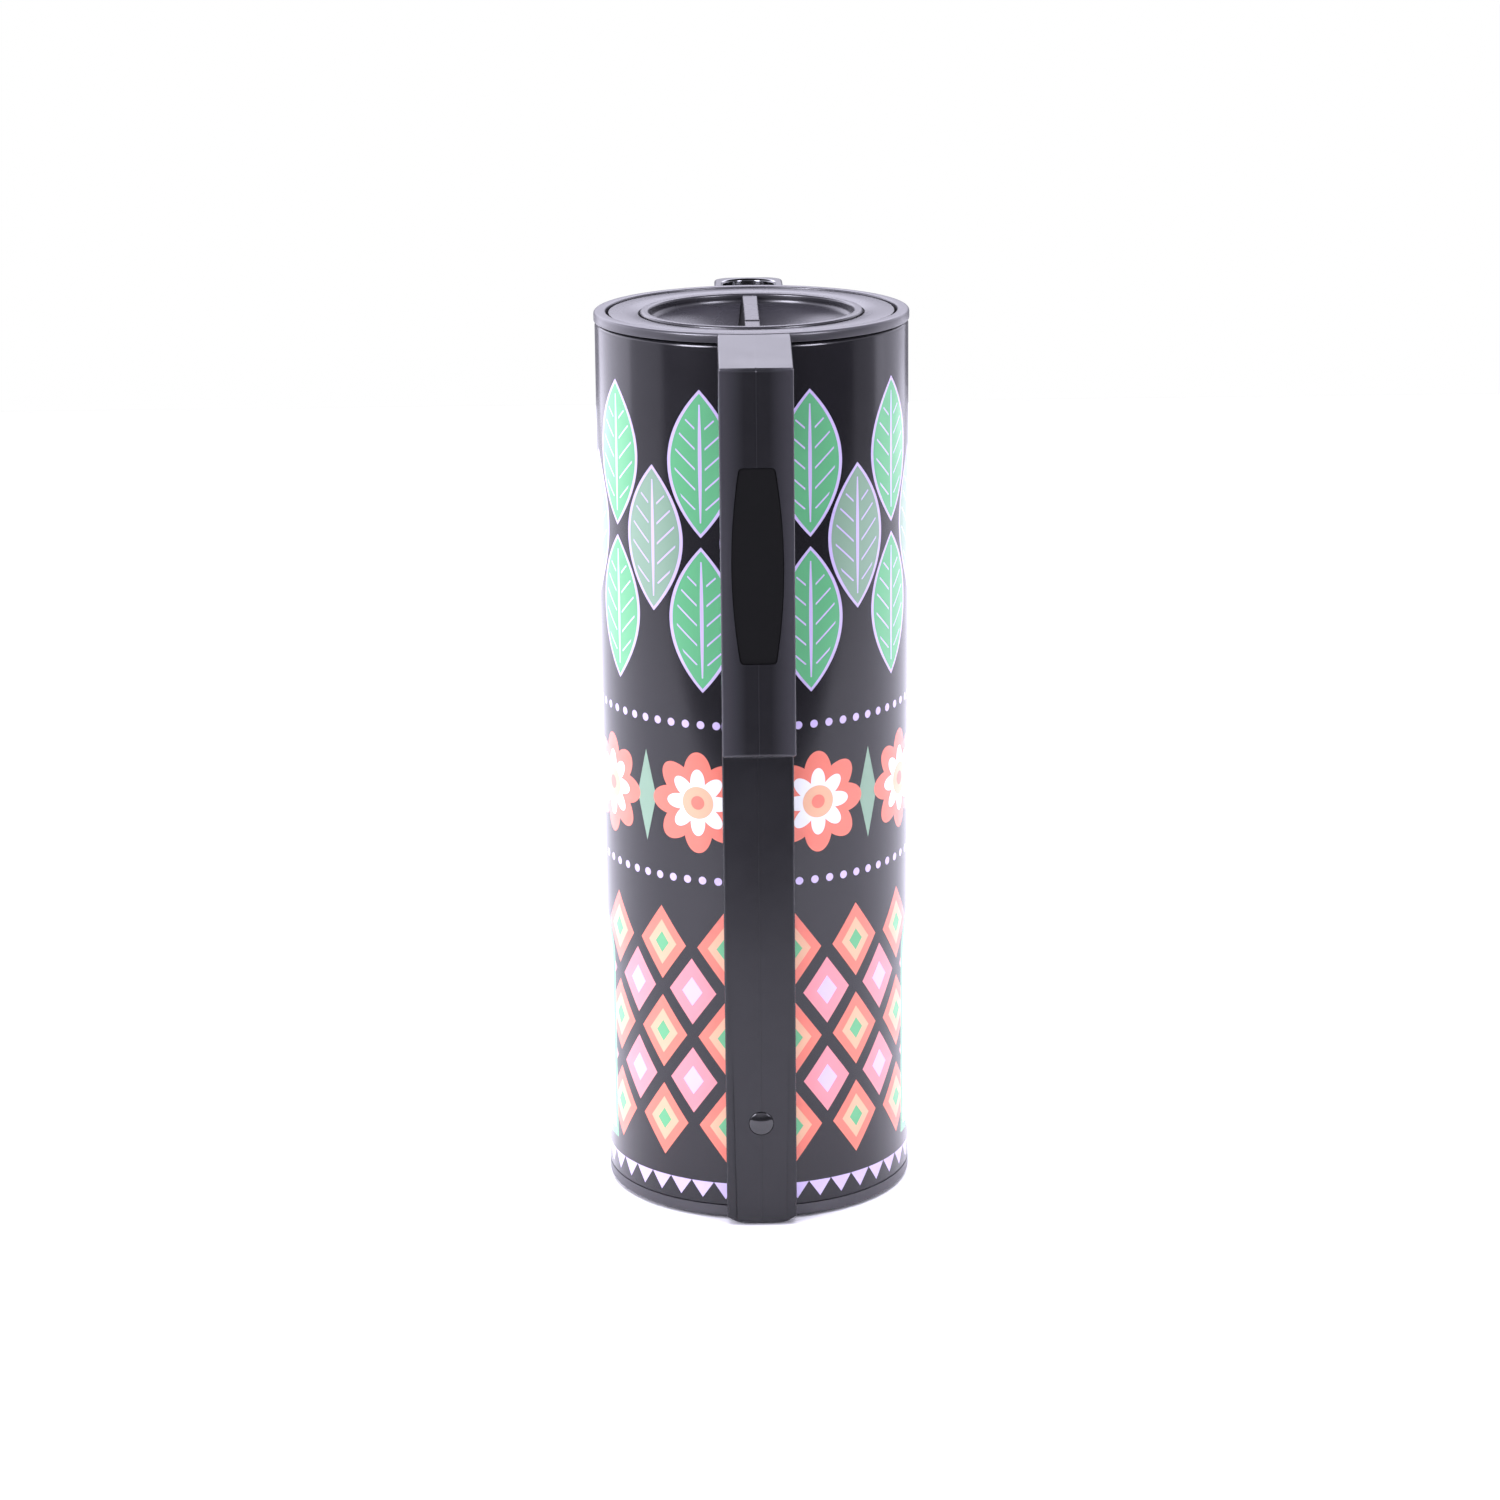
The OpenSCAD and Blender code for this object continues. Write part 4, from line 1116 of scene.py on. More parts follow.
@dataclass
class Studio:
    """Pale floor, bright surroundings, soft lights and the camera."""

    floor_wide: float = 3200.0
    floor_deep: float = 2400.0
    floor_back: float = 700.0
    lens: float = 97.05
    sensor: float = 36.0
    clip: tuple[float, float] = (0.05, 50.0)
    yaw: float = 0.7489
    pitch: float = 15.1546
    roll: float = -0.5557
    place: Place = (-24.539, -1697.971, 652.086)
    tint: Colour = (0.97, 0.945, 1.12)
    front_level: float = 0.3
    back_level: float = 0.9
    left_share: float = 0.5
    low_rise: float = 0.12
    low_gain: float = 0.45
    peak_rise: float = 0.31
    peak_gain: float = 3.45
    fall_rise: float = 0.46
    high_rise: float = 0.62
    high_gain: float = 0.054
    boxes: tuple[SoftBox, ...] = (
        SoftBox("top_box", (0.0, 800.0, 1800.0), (0.0, 800.0, 0.0), (3400.0, 2600.0), 70.0, mirrored=False),
        SoftBox("near_box", (0.0, -20.0, 1150.0), (0.0, -20.0, 0.0), (800.0, 800.0), 13.0, mirrored=False),
        SoftBox("key_box", KEY_PLACE, POT_MIDDLE, (700.0, 380.0), 14.0),
        SoftBox("fill_box", FILL_PLACE, POT_MIDDLE, (560.0, 360.0), 8.5),
        SoftBox("key_glint", KEY_PLACE, POT_MIDDLE, (700.0, 800.0), 72.0, lit=False),
        SoftBox("fill_glint", FILL_PLACE, POT_MIDDLE, (560.0, 760.0), 40.0, lit=False),
        SoftBox("left_card", (-1500.0, -150.0, 250.0), POT_MIDDLE, (900.0, 700.0), 2.0, lit=False),
        SoftBox("right_card", (1500.0, 100.0, 250.0), POT_MIDDLE, (900.0, 700.0), 1.1, lit=False),
        SoftBox("left_box", (-1300.0, 900.0, 420.0), POT_MIDDLE, (1500.0, 800.0), 9.6),
        SoftBox("right_box", (1300.0, 900.0, 420.0), POT_MIDDLE, (1500.0, 800.0), 5.7))

    def build(self) -> list[str]:
        """Makes the stage.

        Returns:
            Names of what it made.
        """
        scene = bpy.context.scene
        scene.view_settings.view_transform = "Standard"
        scene.view_settings.look = "None"
        bm = bmesh.new()
        stretch = Matrix.Diagonal((self.floor_wide / 2 * MM, self.floor_deep / 2 * MM, 1, 1))
        bmesh.ops.create_grid(bm, x_segments=1, y_segments=1, size=1.0,
                              matrix=Matrix.Translation((0, self.floor_back * MM, 0)) @ stretch)
        floor = settle(bm, "floor", Finishes.FLOOR)
        self.make_sky(scene)
        for box in self.boxes:
            self.make_light(box)
        self.make_camera(scene)
        return ["floor"]

    def make_sky(self, scene: bpy.types.Scene) -> None:
        """Sets surroundings that are brighter behind the pot than in front, and plain white to the camera.

        Args:
            scene: The scene.
        """
        world = bpy.data.worlds.new("white_room")
        world.use_nodes = True
        graph = Graph(world.node_tree)
        split = graph.node("ShaderNodeSeparateXYZ")
        graph.feed(split.inputs[0], graph.node("ShaderNodeTexCoord").outputs["Generated"])
        x, y, z = (Term(graph, socket) for socket in split.outputs)
        depth = graph.spread(y * 0.5 + 0.5, self.front_level, self.back_level)
        climb, fall = self.peak_rise - self.low_rise, self.high_rise - self.fall_rise
        low = graph.spread((z - self.low_rise) / climb, self.low_gain, self.peak_gain)
        high = graph.spread((z - self.fall_rise) / fall, 1.0, self.high_gain)
        lit = world.node_tree.nodes["Background"]
        lit.inputs["Color"].default_value = (*self.tint, 1.0)
        graph.feed(lit.inputs["Strength"], depth * low * high * (x * -self.left_share + 1.0))
        plain = graph.node("ShaderNodeBackground")
        plain.inputs["Color"].default_value = (1.0, 1.0, 1.0, 1.0)
        choose = graph.node("ShaderNodeMixShader")
        graph.feed(choose.inputs[0], graph.node("ShaderNodeLightPath").outputs["Is Camera Ray"])
        graph.feed(choose.inputs[1], lit.outputs[0])
        graph.feed(choose.inputs[2], plain.outputs[0])
        graph.feed(world.node_tree.nodes["World Output"].inputs["Surface"], choose.outputs[0])
        scene.world = world

    def make_light(self, box: SoftBox) -> None:
        """Adds a soft box that only its light is seen of.

        Args:
            box: The soft box.
        """
        light = bpy.data.lights.new(box.name, "AREA")
        light.shape = "RECTANGLE"
        light.size, light.size_y = box.size[0] * MM, box.size[1] * MM
        light.energy = box.power
        light.color = self.tint
        made = bpy.data.objects.new(box.name, light)
        made.location = Vector(box.place) * MM
        made.rotation_euler = (Vector(box.aim) - Vector(box.place)).to_track_quat("-Z", "Y").to_euler()
        made.visible_camera = False
        made.visible_glossy = box.mirrored
        made.visible_diffuse = box.lit
        bpy.context.scene.collection.objects.link(made)

    def make_camera(self, scene: bpy.types.Scene) -> None:
        """Adds the camera at the photograph's place and angle.

        Args:
            scene: The scene.
        """
        data = bpy.data.cameras.new("camera")
        data.lens, data.sensor_width, data.sensor_fit = self.lens, self.sensor, "HORIZONTAL"
        data.clip_start, data.clip_end = self.clip
        camera = bpy.data.objects.new("camera", data)
        turn_z = Matrix.Rotation(math.radians(-self.yaw), 4, "Z")
        tilt = Matrix.Rotation(math.radians(90.0 - self.pitch), 4, "X")
        lean = Matrix.Rotation(math.radians(self.roll), 4, "Z")
        camera.matrix_world = Matrix.Translation(Vector(self.place) * MM) @ turn_z @ tilt @ lean
        scene.collection.objects.link(camera)
        scene.camera = camera


@dataclass
class Casing:
    """Printed shell with its base, foot pad and rim ring."""

    wall: float = 2.0
    low: float = 6.4
    high: float = 381.3
    shoulder: float = 1.95
    foot_edge: float = 0.4
    ring_out: float = 66.75
    ring_in: float = 61.7
    ring_step: float = 64.25
    ring_low: float = 381.6
    ring_foot: float = 380.4
    ring_top: float = 385.5
    ring_edge: float = 1.1
    ring_inner_edge: float = 0.6
    ring_low_edge: float = 0.25
    steps: int = 256
    bore_walls: float = 6.0
    bore_sides: int = 32
    outlet_z: float = 354.0
    outlet_r: float = 6.3
    upper_z: float = 369.1
    upper_r: float = 2.2
    upper_turn: float = 7.3
    lower_z: float = 46.5
    lower_r: float = 2.8

    def bores(self) -> bmesh.types.BMesh:
        """Shape of the holes for the outlet and the screws.

        Returns:
            The closed shapes.
        """
        bm = bmesh.new()
        holes = [(0.0, self.outlet_z, self.outlet_r), (180.0, self.lower_z, self.lower_r)]
        holes += [(side + turned, self.upper_z, self.upper_r) for side in (0.0, 180.0)
                  for turned in (-self.upper_turn, self.upper_turn)]
        for angle, z, radius in holes:
            round_axis = Matrix.Rotation(math.radians(angle), 4, "Z")
            place = Matrix.Translation(metres((0, SHELL_R, z))) @ Matrix.Rotation(QUARTER_TURN, 4, "X")
            rod(bm, radius, self.bore_walls * self.wall, round_axis @ place, sides=self.bore_sides)
        return bm

    def build_ring(self) -> bpy.types.Object:
        """Models the rim ring, whose foot reaches into the shell.

        Returns:
            The piece.
        """
        bm = bmesh.new()
        draw(bm, [Corner(self.ring_in, self.ring_top, self.ring_inner_edge, steps=5),
                  Corner(self.ring_out, self.ring_top, self.ring_edge, steps=7),
                  Corner(self.ring_out, self.ring_low, self.ring_low_edge, steps=3),
                  Corner(self.ring_step, self.ring_low), Corner(self.ring_step, self.ring_foot),
                  Corner(self.ring_in, self.ring_foot)], Plane.XZ)
        turn(bm, self.steps)
        return join_frame(settle(bm, "rim_ring", Finishes.RIM), Body.POT, Slot.BLACK, "top_ring")

    def build_shell(self) -> bpy.types.Object:
        """Models the shell with its rounded shoulder.

        Returns:
            The piece.
        """
        bm = bmesh.new()
        inner = SHELL_R - self.wall
        draw(bm, [Corner(SHELL_R, self.low, self.foot_edge, steps=3),
                  Corner(SHELL_R, self.high, self.shoulder, steps=10),
                  Corner(inner, self.high), Corner(inner, self.low)], Plane.XZ)
        turn(bm, self.steps)
        piece = settle(bm, "shell_body", Finishes.SHELL)
        carve(piece, self.bores())
        return join_frame(piece, Body.POT, Slot.SHELL, "outer_shell")

    def build(self) -> list[str]:
        """Models the new pieces."""
        return [self.build_shell().name, self.build_ring().name]

    def dress(self) -> list[str]:
        """Gives the casing's CAD nodes their finishes."""
        return (dress_nodes(Finishes.RUBBER, "foot_pad")
                + dress_nodes(Finishes.RIM, "base_cap", "base_plug", "neck_collar"))


@dataclass
class PressTop:
    """Press plate with the grip bowl and the bar that stands across it."""

    bar_top: float = 384.4
    bar_half: float = 3.1
    left_foot: float = 5.4
    right_foot: float = 3.9
    foot_lean: float = 0.5
    foot_rise: float = 1.6
    foot_round: float = 1.2
    shade_facing: float = -0.8
    end: float = 43.2
    floor: float = 372.05
    flat: float = 17.0
    dish_edge: float = 380.75
    arch_half: float = 6.4
    arch_top: float = 377.4
    crease: float = -23.5
    step: float = 0.45
    step_run: float = 0.08
    step_slack: float = 0.1
    edge: float = 0.6
    sections: int = 48
    plate_out: float = 60.55
    plate_in: float = 47.85
    plate_top: float = 384.9
    plate_bend: float = 51.6
    plate_valley: float = 384.1
    plate_edge: float = 0.5
    plate_in_edge: float = 0.25
    bend_round: float = 2.4
    under_rise: float = 0.4
    under_run: float = 0.7
    seat_out: float = 384.62
    seat_in: float = 383.42
    lip_out: float = 47.08
    lip_in: float = 43.42
    lip_top: float = 385.15
    lip_low: float = 382.8
    lip_edge: float = 0.85
    lip_slope: float = 0.4
    steps: int = 192

    def dish(self, y: float) -> float:
        """Height of the bowl's dish under the bar at a distance from the middle, in millimetres."""
        beyond = max(abs(y) - self.flat, 0.0)
        return self.floor + beyond * (self.dish_edge - self.floor) / (self.end - self.flat)

    def build_bar(self) -> bpy.types.Object:
        """Models the bar, whose left side leans out and whose foot follows the dish.

        Returns:
            The piece.
        """
        bm = bmesh.new()
        draw(bm, [Corner(-self.bar_half, self.bar_top, self.edge, steps=4),
                  Corner(self.bar_half, self.bar_top, self.edge, steps=4),
                  Corner(self.right_foot, self.floor), Corner(-self.left_foot - self.foot_lean, self.floor),
                  Corner(-self.left_foot + self.foot_lean, self.floor + self.foot_rise, self.foot_round,
                         steps=4)], Plane.XZ, level=-self.end)
        sweep(bm, (0, 2 * self.end / self.sections, 0), self.sections)
        for y in (self.crease - self.step_run, self.crease):
            slice_at(bm, (0, y, 0), (0, 1, 0))
        self.fit_bar(bm)
        # Faces turned to the left take the very dark soft-touch finish: painted shade on the bar's left side
        for face in bm.faces:
            face.material_index = int(face.normal.x < self.shade_facing)
        piece = settle(bm, "cross_bar", Finishes.BLACK, angle=35.0)
        piece.data.materials.append(Finishes.INLAY.value.material())
        arch = bmesh.new()
        rod(arch, self.arch_half, 2 * (self.arch_top - self.floor),
            Matrix.Translation(metres((0, 0, self.floor))))
        carve(piece, arch)
        even_out(piece)
        return join_frame(piece, Body.GRIP, Slot.BLACK, "grip_bar")

    def fit_bar(self, bm: bmesh.types.BMesh) -> None:
        """Shortens the bar's sides to the dish and lowers its top before the crease.

        Args:
            bm: Mesh of the bar.
        """
        tall = self.bar_top - self.floor
        for vert in bm.verts:
            x, y, z = vert.co / MM
            share = (self.bar_top - self.dish(y)) / tall
            drop = self.bar_top - z
            if abs(x) > self.bar_half:
                x = math.copysign(self.bar_half + (abs(x) - self.bar_half) * share, x)
            lowered = y < self.crease - self.step_run / 2 and drop < self.edge + self.step_slack
            fall = self.step if lowered else 0.0
            vert.co = Vector((x, y, self.bar_top - drop * share - fall)) * MM
        close(bm)

    def build_skin(self) -> bpy.types.Object:
        """Models the flat skin on the press plate, which dips beside the bowl.

        Returns:
            The piece.
        """
        bm = bmesh.new()
        draw(bm, [Corner(self.plate_out, self.plate_top, self.plate_edge, steps=5),
                  Corner(self.plate_out, self.seat_out - self.under_rise),
                  Corner(self.plate_out - self.under_run, self.seat_out), Corner(self.plate_in, self.seat_in),
                  Corner(self.plate_in, self.plate_valley, self.plate_in_edge, steps=3),
                  Corner(self.plate_bend, self.plate_top, self.bend_round, steps=8)], Plane.XZ)
        turn(bm, self.steps)
        return join_frame(settle(bm, "plate_skin", Finishes.BLACK), Body.PLATE, Slot.BLACK)

    def build_lip(self) -> bpy.types.Object:
        """Models the bowl's lip with its flat top.

        Returns:
            The piece.
        """
        bm = bmesh.new()
        draw(bm, [Corner(self.lip_in, self.lip_top, self.lip_edge, steps=6),
                  Corner(self.lip_out, self.lip_top, self.lip_edge, steps=6),
                  Corner(self.lip_out, self.lip_low), Corner(self.lip_in, self.lip_low + self.lip_slope)],
             Plane.XZ)
        turn(bm, self.steps)
        return join_frame(settle(bm, "bowl_lip", Finishes.BLACK), Body.GRIP, Slot.BLACK)

    def build(self) -> list[str]:
        """Models the new pieces."""
        return [self.build_bar().name, self.build_skin().name, self.build_lip().name]

    def dress(self) -> list[str]:
        """Gives the CAD nodes their finishes."""
        return (dress_nodes(Finishes.BLACK, "press_plate", "grip_bowl")
                + dress_nodes(Finishes.STEEL, "pivot_screw", "stem_clip")
                + dress_nodes(Finishes.SILICONE, "shutter_disc", "intake_flap"))


@dataclass
class Handle:
    """Handle with its loop, its strip, the soft inlay and the screw cap."""

    width: float = 30.0
    grip_out: float = 113.95
    grip_in: float = 96.95
    strip_out: float = 72.75
    arm_top: float = 385.2
    loop_top: float = 379.2
    loop_low: float = 219.7
    root_low: float = 215.7
    arm_under: float = 355.2
    lower_top: float = 241.7
    strip_low: float = 1.2
    ring_seat: float = 66.9
    shell_seat: float = 66.47
    ring_low: float = 381.45
    seat_slack: float = 0.05
    edge: float = 1.5
    strip_edge: float = 1.0
    side_edge: float = 0.9
    crown: float = 1.1
    finger_round: float = 10.0
    fillet: float = 8.0
    cut_width: float = 4.6
    cut_height: float = 2.2
    columns: int = 10
    seam_half: float = 0.3
    seam_rise: float = 0.11
    inlay_mid: float = 298.85
    inlay_height: float = 80.5
    inlay_width: float = 21.0
    inlay_end: float = 14.4
    inlay_recess: float = 0.8
    inlay_thick: float = 1.2
    inlay_corner: float = 1.4
    inlay_edge: float = 0.3
    inlay_cuts: int = 23
    pocket_play: float = 0.12
    pocket_lead: float = 4.0
    pocket_edge: float = 0.35
    pocket_margin: float = 0.5
    cap_z: float = 46.5
    cap_r: float = 5.15
    cap_dome: float = 1.2
    cap_rise: float = 0.1
    cap_edge: float = 0.35
    cap_deep: float = 2.1
    cap_play: float = 0.18
    cap_seat: float = 4.4
    cap_sides: int = 64
    cap_steps: int = 72
    dome_radii: tuple[float, ...] = (0.0, 0.9, 1.8, 2.7, 3.5, 4.2)

    def outline(self) -> list[Corner]:
        """Side view of the handle as y and z, the outside being at -y.

        Returns:
            Its corners in order.
        """
        shell, ring = -self.shell_seat, -self.ring_seat
        return [Corner(ring, self.arm_top), Corner(-self.grip_out, self.loop_top, self.edge),
                Corner(-self.grip_out, self.loop_low, self.edge),
                Corner(-self.strip_out, self.root_low, self.fillet, steps=7),
                Corner(-self.strip_out, self.strip_low, self.strip_edge, steps=3),
                Corner(shell, self.strip_low), Corner(shell, self.lower_top),
                Corner(-self.grip_in, self.lower_top, self.finger_round, steps=8),
                Corner(-self.grip_in, self.arm_under, self.finger_round, steps=8),
                Corner(shell, self.arm_under), Corner(shell, self.ring_low), Corner(ring, self.ring_low)]

    def at_back(self, vert: bmesh.types.BMVert) -> bool:
        """Whether a vertex lies on the pot's side of the handle."""
        return -vert.co.y < (self.ring_seat + self.seat_slack) * MM

    def seat_at(self, vert: bmesh.types.BMVert) -> float:
        """Finds what a vertex on the pot's side rests on.

        Args:
            vert: The vertex.

        Returns:
            Radius of the ring's or the shell's face.
        """
        high = vert.co.z > self.ring_low * MM - TOUCH
        outside = -vert.co.y > (self.ring_seat - self.seat_slack) * MM
        return self.ring_seat if high and outside else self.shell_seat

    def is_free(self, edge: bmesh.types.BMEdge) -> bool:
        """Tells whether an edge may be rounded.

        Args:
            edge: The edge.

        Returns:
            True off the pot's side, and for edges that run to it.
        """
        first, second = edge.verts
        ends = [self.at_back(first), self.at_back(second)]
        lengthwise = abs(abs(first.co.x) - abs(second.co.x)) < TOUCH
        return not any(ends) or (lengthwise and not all(ends))

    def build_handle(self) -> bpy.types.Object:
        """Models the handle in one piece with its rounded edges and the inlay's pocket.

        Returns:
            The piece.
        """
        bm = bmesh.new()
        draw(bm, self.outline(), Plane.YZ)
        half = self.width / 2
        bmesh.ops.translate(bm, verts=bm.verts, vec=metres((-half, 0, 0)))
        sweep(bm, (self.width / self.columns, 0, 0), self.columns)
        self.crown_faces(bm)
        for side in (-1, 1):
            normal = Vector((side * self.cut_height, 0, -self.cut_width)).normalized()
            rim = slice_at(bm, (side * (half - self.cut_width), 0, self.strip_low), normal, clear=True)
            bmesh.ops.contextual_create(bm, geom=rim)
        for vert in bm.verts:
            if self.at_back(vert):
                vert.co.y = -math.sqrt((self.seat_at(vert) * MM) ** 2 - vert.co.x ** 2)
        close(bm)
        soften(bm, sharp_edges(bm, 35.0, self.is_free), self.side_edge, steps=5, clamp=False)
        piece = settle(bm, "handle_body", Finishes.HANDLE, angle=30.0)
        carve(piece, self.pocket_cutter())
        round_rims(piece, self.on_rim, self.pocket_edge, steps=3, angle=30.0)
        even_out(piece)
        return join_frame(piece, Body.POT, Slot.HANDLE, "handle")

    def crown_faces(self, bm: bmesh.types.BMesh) -> None:
        """Bows the faces across their width and raises the fine ridge where the mould's halves met.

        Args:
            bm: Mesh of the handle.
        """
        for side in (-1, 1):
            slice_at(bm, (side * self.seam_half, 0, 0), (1, 0, 0))
        bm.normal_update()

        def spot(vert: bmesh.types.BMVert) -> tuple[float, float]:
            """Place of a vertex in the side view."""
            return round(vert.co.y, 6), round(vert.co.z, 6)

        outward = {spot(v): v.normal.copy() for v in bm.verts if abs(v.co.x) < TOUCH}
        half = self.width / 2 * MM
        for vert in bm.verts:
            normal = outward.get(spot(vert))
            if normal is None or self.at_back(vert):
                continue
            rise = self.seam_rise if abs(vert.co.x) < TOUCH else 0.0
            bow = self.crown * max(-normal.y, 0.0) ** 2
            vert.co += normal * (rise - bow * (vert.co.x / half) ** 2) * MM

    def barrel(self, bm: bmesh.types.BMesh, grow: float, y: float) -> None:
        """Draws the inlay's barrel-shaped outline as one face.

        Args:
            bm: Mesh to draw in.
            grow: How far it is larger than the inlay.
            y: Its place across the pot.
        """
        half, end, mid = (size / 2 + grow for size in (self.inlay_height, self.inlay_end, self.inlay_width))
        draw(bm, [Corner(-end, -half), Corner(end, -half), Corner(end, half), Corner(-end, half)], Plane.XZ)
        sides = [e for e in bm.edges if abs(e.verts[0].co.x - e.verts[1].co.x) < TOUCH]
        bmesh.ops.subdivide_edges(bm, edges=sides, cuts=self.inlay_cuts)
        radius = (half * half + (mid - end) ** 2) / (2 * (mid - end))
        for vert in bm.verts:
            z = vert.co.z / MM
            reach = mid - radius + math.sqrt(radius * radius - z * z)
            vert.co.x = math.copysign(reach, vert.co.x) * MM
        corners = [v for v in bm.verts if abs(abs(v.co.z) - half * MM) < TOUCH]
        round_corners(bm, corners, self.inlay_corner + grow, steps=4)
        bmesh.ops.contextual_create(bm, geom=bm.edges[:])
        bmesh.ops.translate(bm, verts=bm.verts, vec=metres((0, y, self.inlay_mid)))

    def pocket_cutter(self) -> bmesh.types.BMesh:
        """Shape of the inlay's pocket and of the seat round the screw cap.

        Returns:
            The closed shapes.
        """
        bm = bmesh.new()
        deep = self.inlay_recess + self.inlay_thick
        self.barrel(bm, self.pocket_play, -self.grip_out - self.pocket_lead)
        draw_out(bm, (0, self.pocket_lead + deep, 0))
        close(bm)
        place = Matrix.Translation(metres((0, -self.strip_out, self.cap_z)))
        rod(bm, self.cap_r + self.cap_play, self.cap_seat, place @ Matrix.Rotation(QUARTER_TURN, 4, "X"),
            sides=self.cap_sides)
        bmesh.ops.recalc_face_normals(bm, faces=bm.faces)
        return bm

    def on_rim(self, edge: bmesh.types.BMEdge) -> bool:
        """Tells whether an edge lies on the rim of the pocket or of the cap's seat.

        Args:
            edge: The edge.

        Returns:
            True on a rim.
        """
        wide = (self.inlay_width / 2 + self.pocket_margin) * MM
        return any(all(abs(v.co.y + plane * MM) < 2 * TOUCH and abs(v.co.x) < wide for v in edge.verts)
                   for plane in (self.grip_out, self.strip_out))

    def build_inlay(self) -> bpy.types.Object:
        """Models the soft inlay with rounded corners and rim.

        Returns:
            The piece.
        """
        bm = bmesh.new()
        front = -self.grip_out + self.inlay_recess
        self.barrel(bm, 0.0, front)
        draw_out(bm, (0, self.inlay_thick, 0))
        close(bm)
        rim = sharp_edges(bm, RIM_ANGLE, lambda e: all(abs(v.co.y - front * MM) < TOUCH for v in e.verts))
        soften(bm, rim, self.inlay_edge)
        piece = settle(bm, "grip_pad", Finishes.INLAY, angle=35.0)
        even_out(piece)
        return join_frame(piece, Body.POT, Slot.INLAY, "grip_inlay")

    def build_cap(self) -> bpy.types.Object:
        """Models the domed cap over the lower screw.

        Returns:
            The piece.
        """
        bm = bmesh.new()
        sphere = (self.cap_r ** 2 + self.cap_dome ** 2) / (2 * self.cap_dome)
        dome = [Corner(r, self.cap_dome - sphere + math.sqrt(sphere * sphere - r * r))
                for r in self.dome_radii]
        draw(bm, dome + [Corner(self.cap_r, self.cap_rise, self.cap_edge, steps=4),
                         Corner(self.cap_r, -self.cap_deep), Corner(0.0, -self.cap_deep)],
             Plane.XZ, closed=False)
        turn(bm, self.cap_steps)
        lay_at(bm, (0, -self.strip_out, self.cap_z))
        piece = settle(bm, "screw_cover", Finishes.CAP)
        return join_frame(piece, Body.POT, Slot.CAP, "screw_cap")

    def build(self) -> list[str]:
        """Models the handle's pieces."""
        return [self.build_handle().name, self.build_inlay().name, self.build_cap().name]

    def dress(self) -> list[str]:
        """Gives the CAD nodes their finishes."""
        return (dress_nodes(Finishes.STEEL, "handle_screw", "upper_screws")
                + dress_nodes(Finishes.BRASS, "screw_insert"))


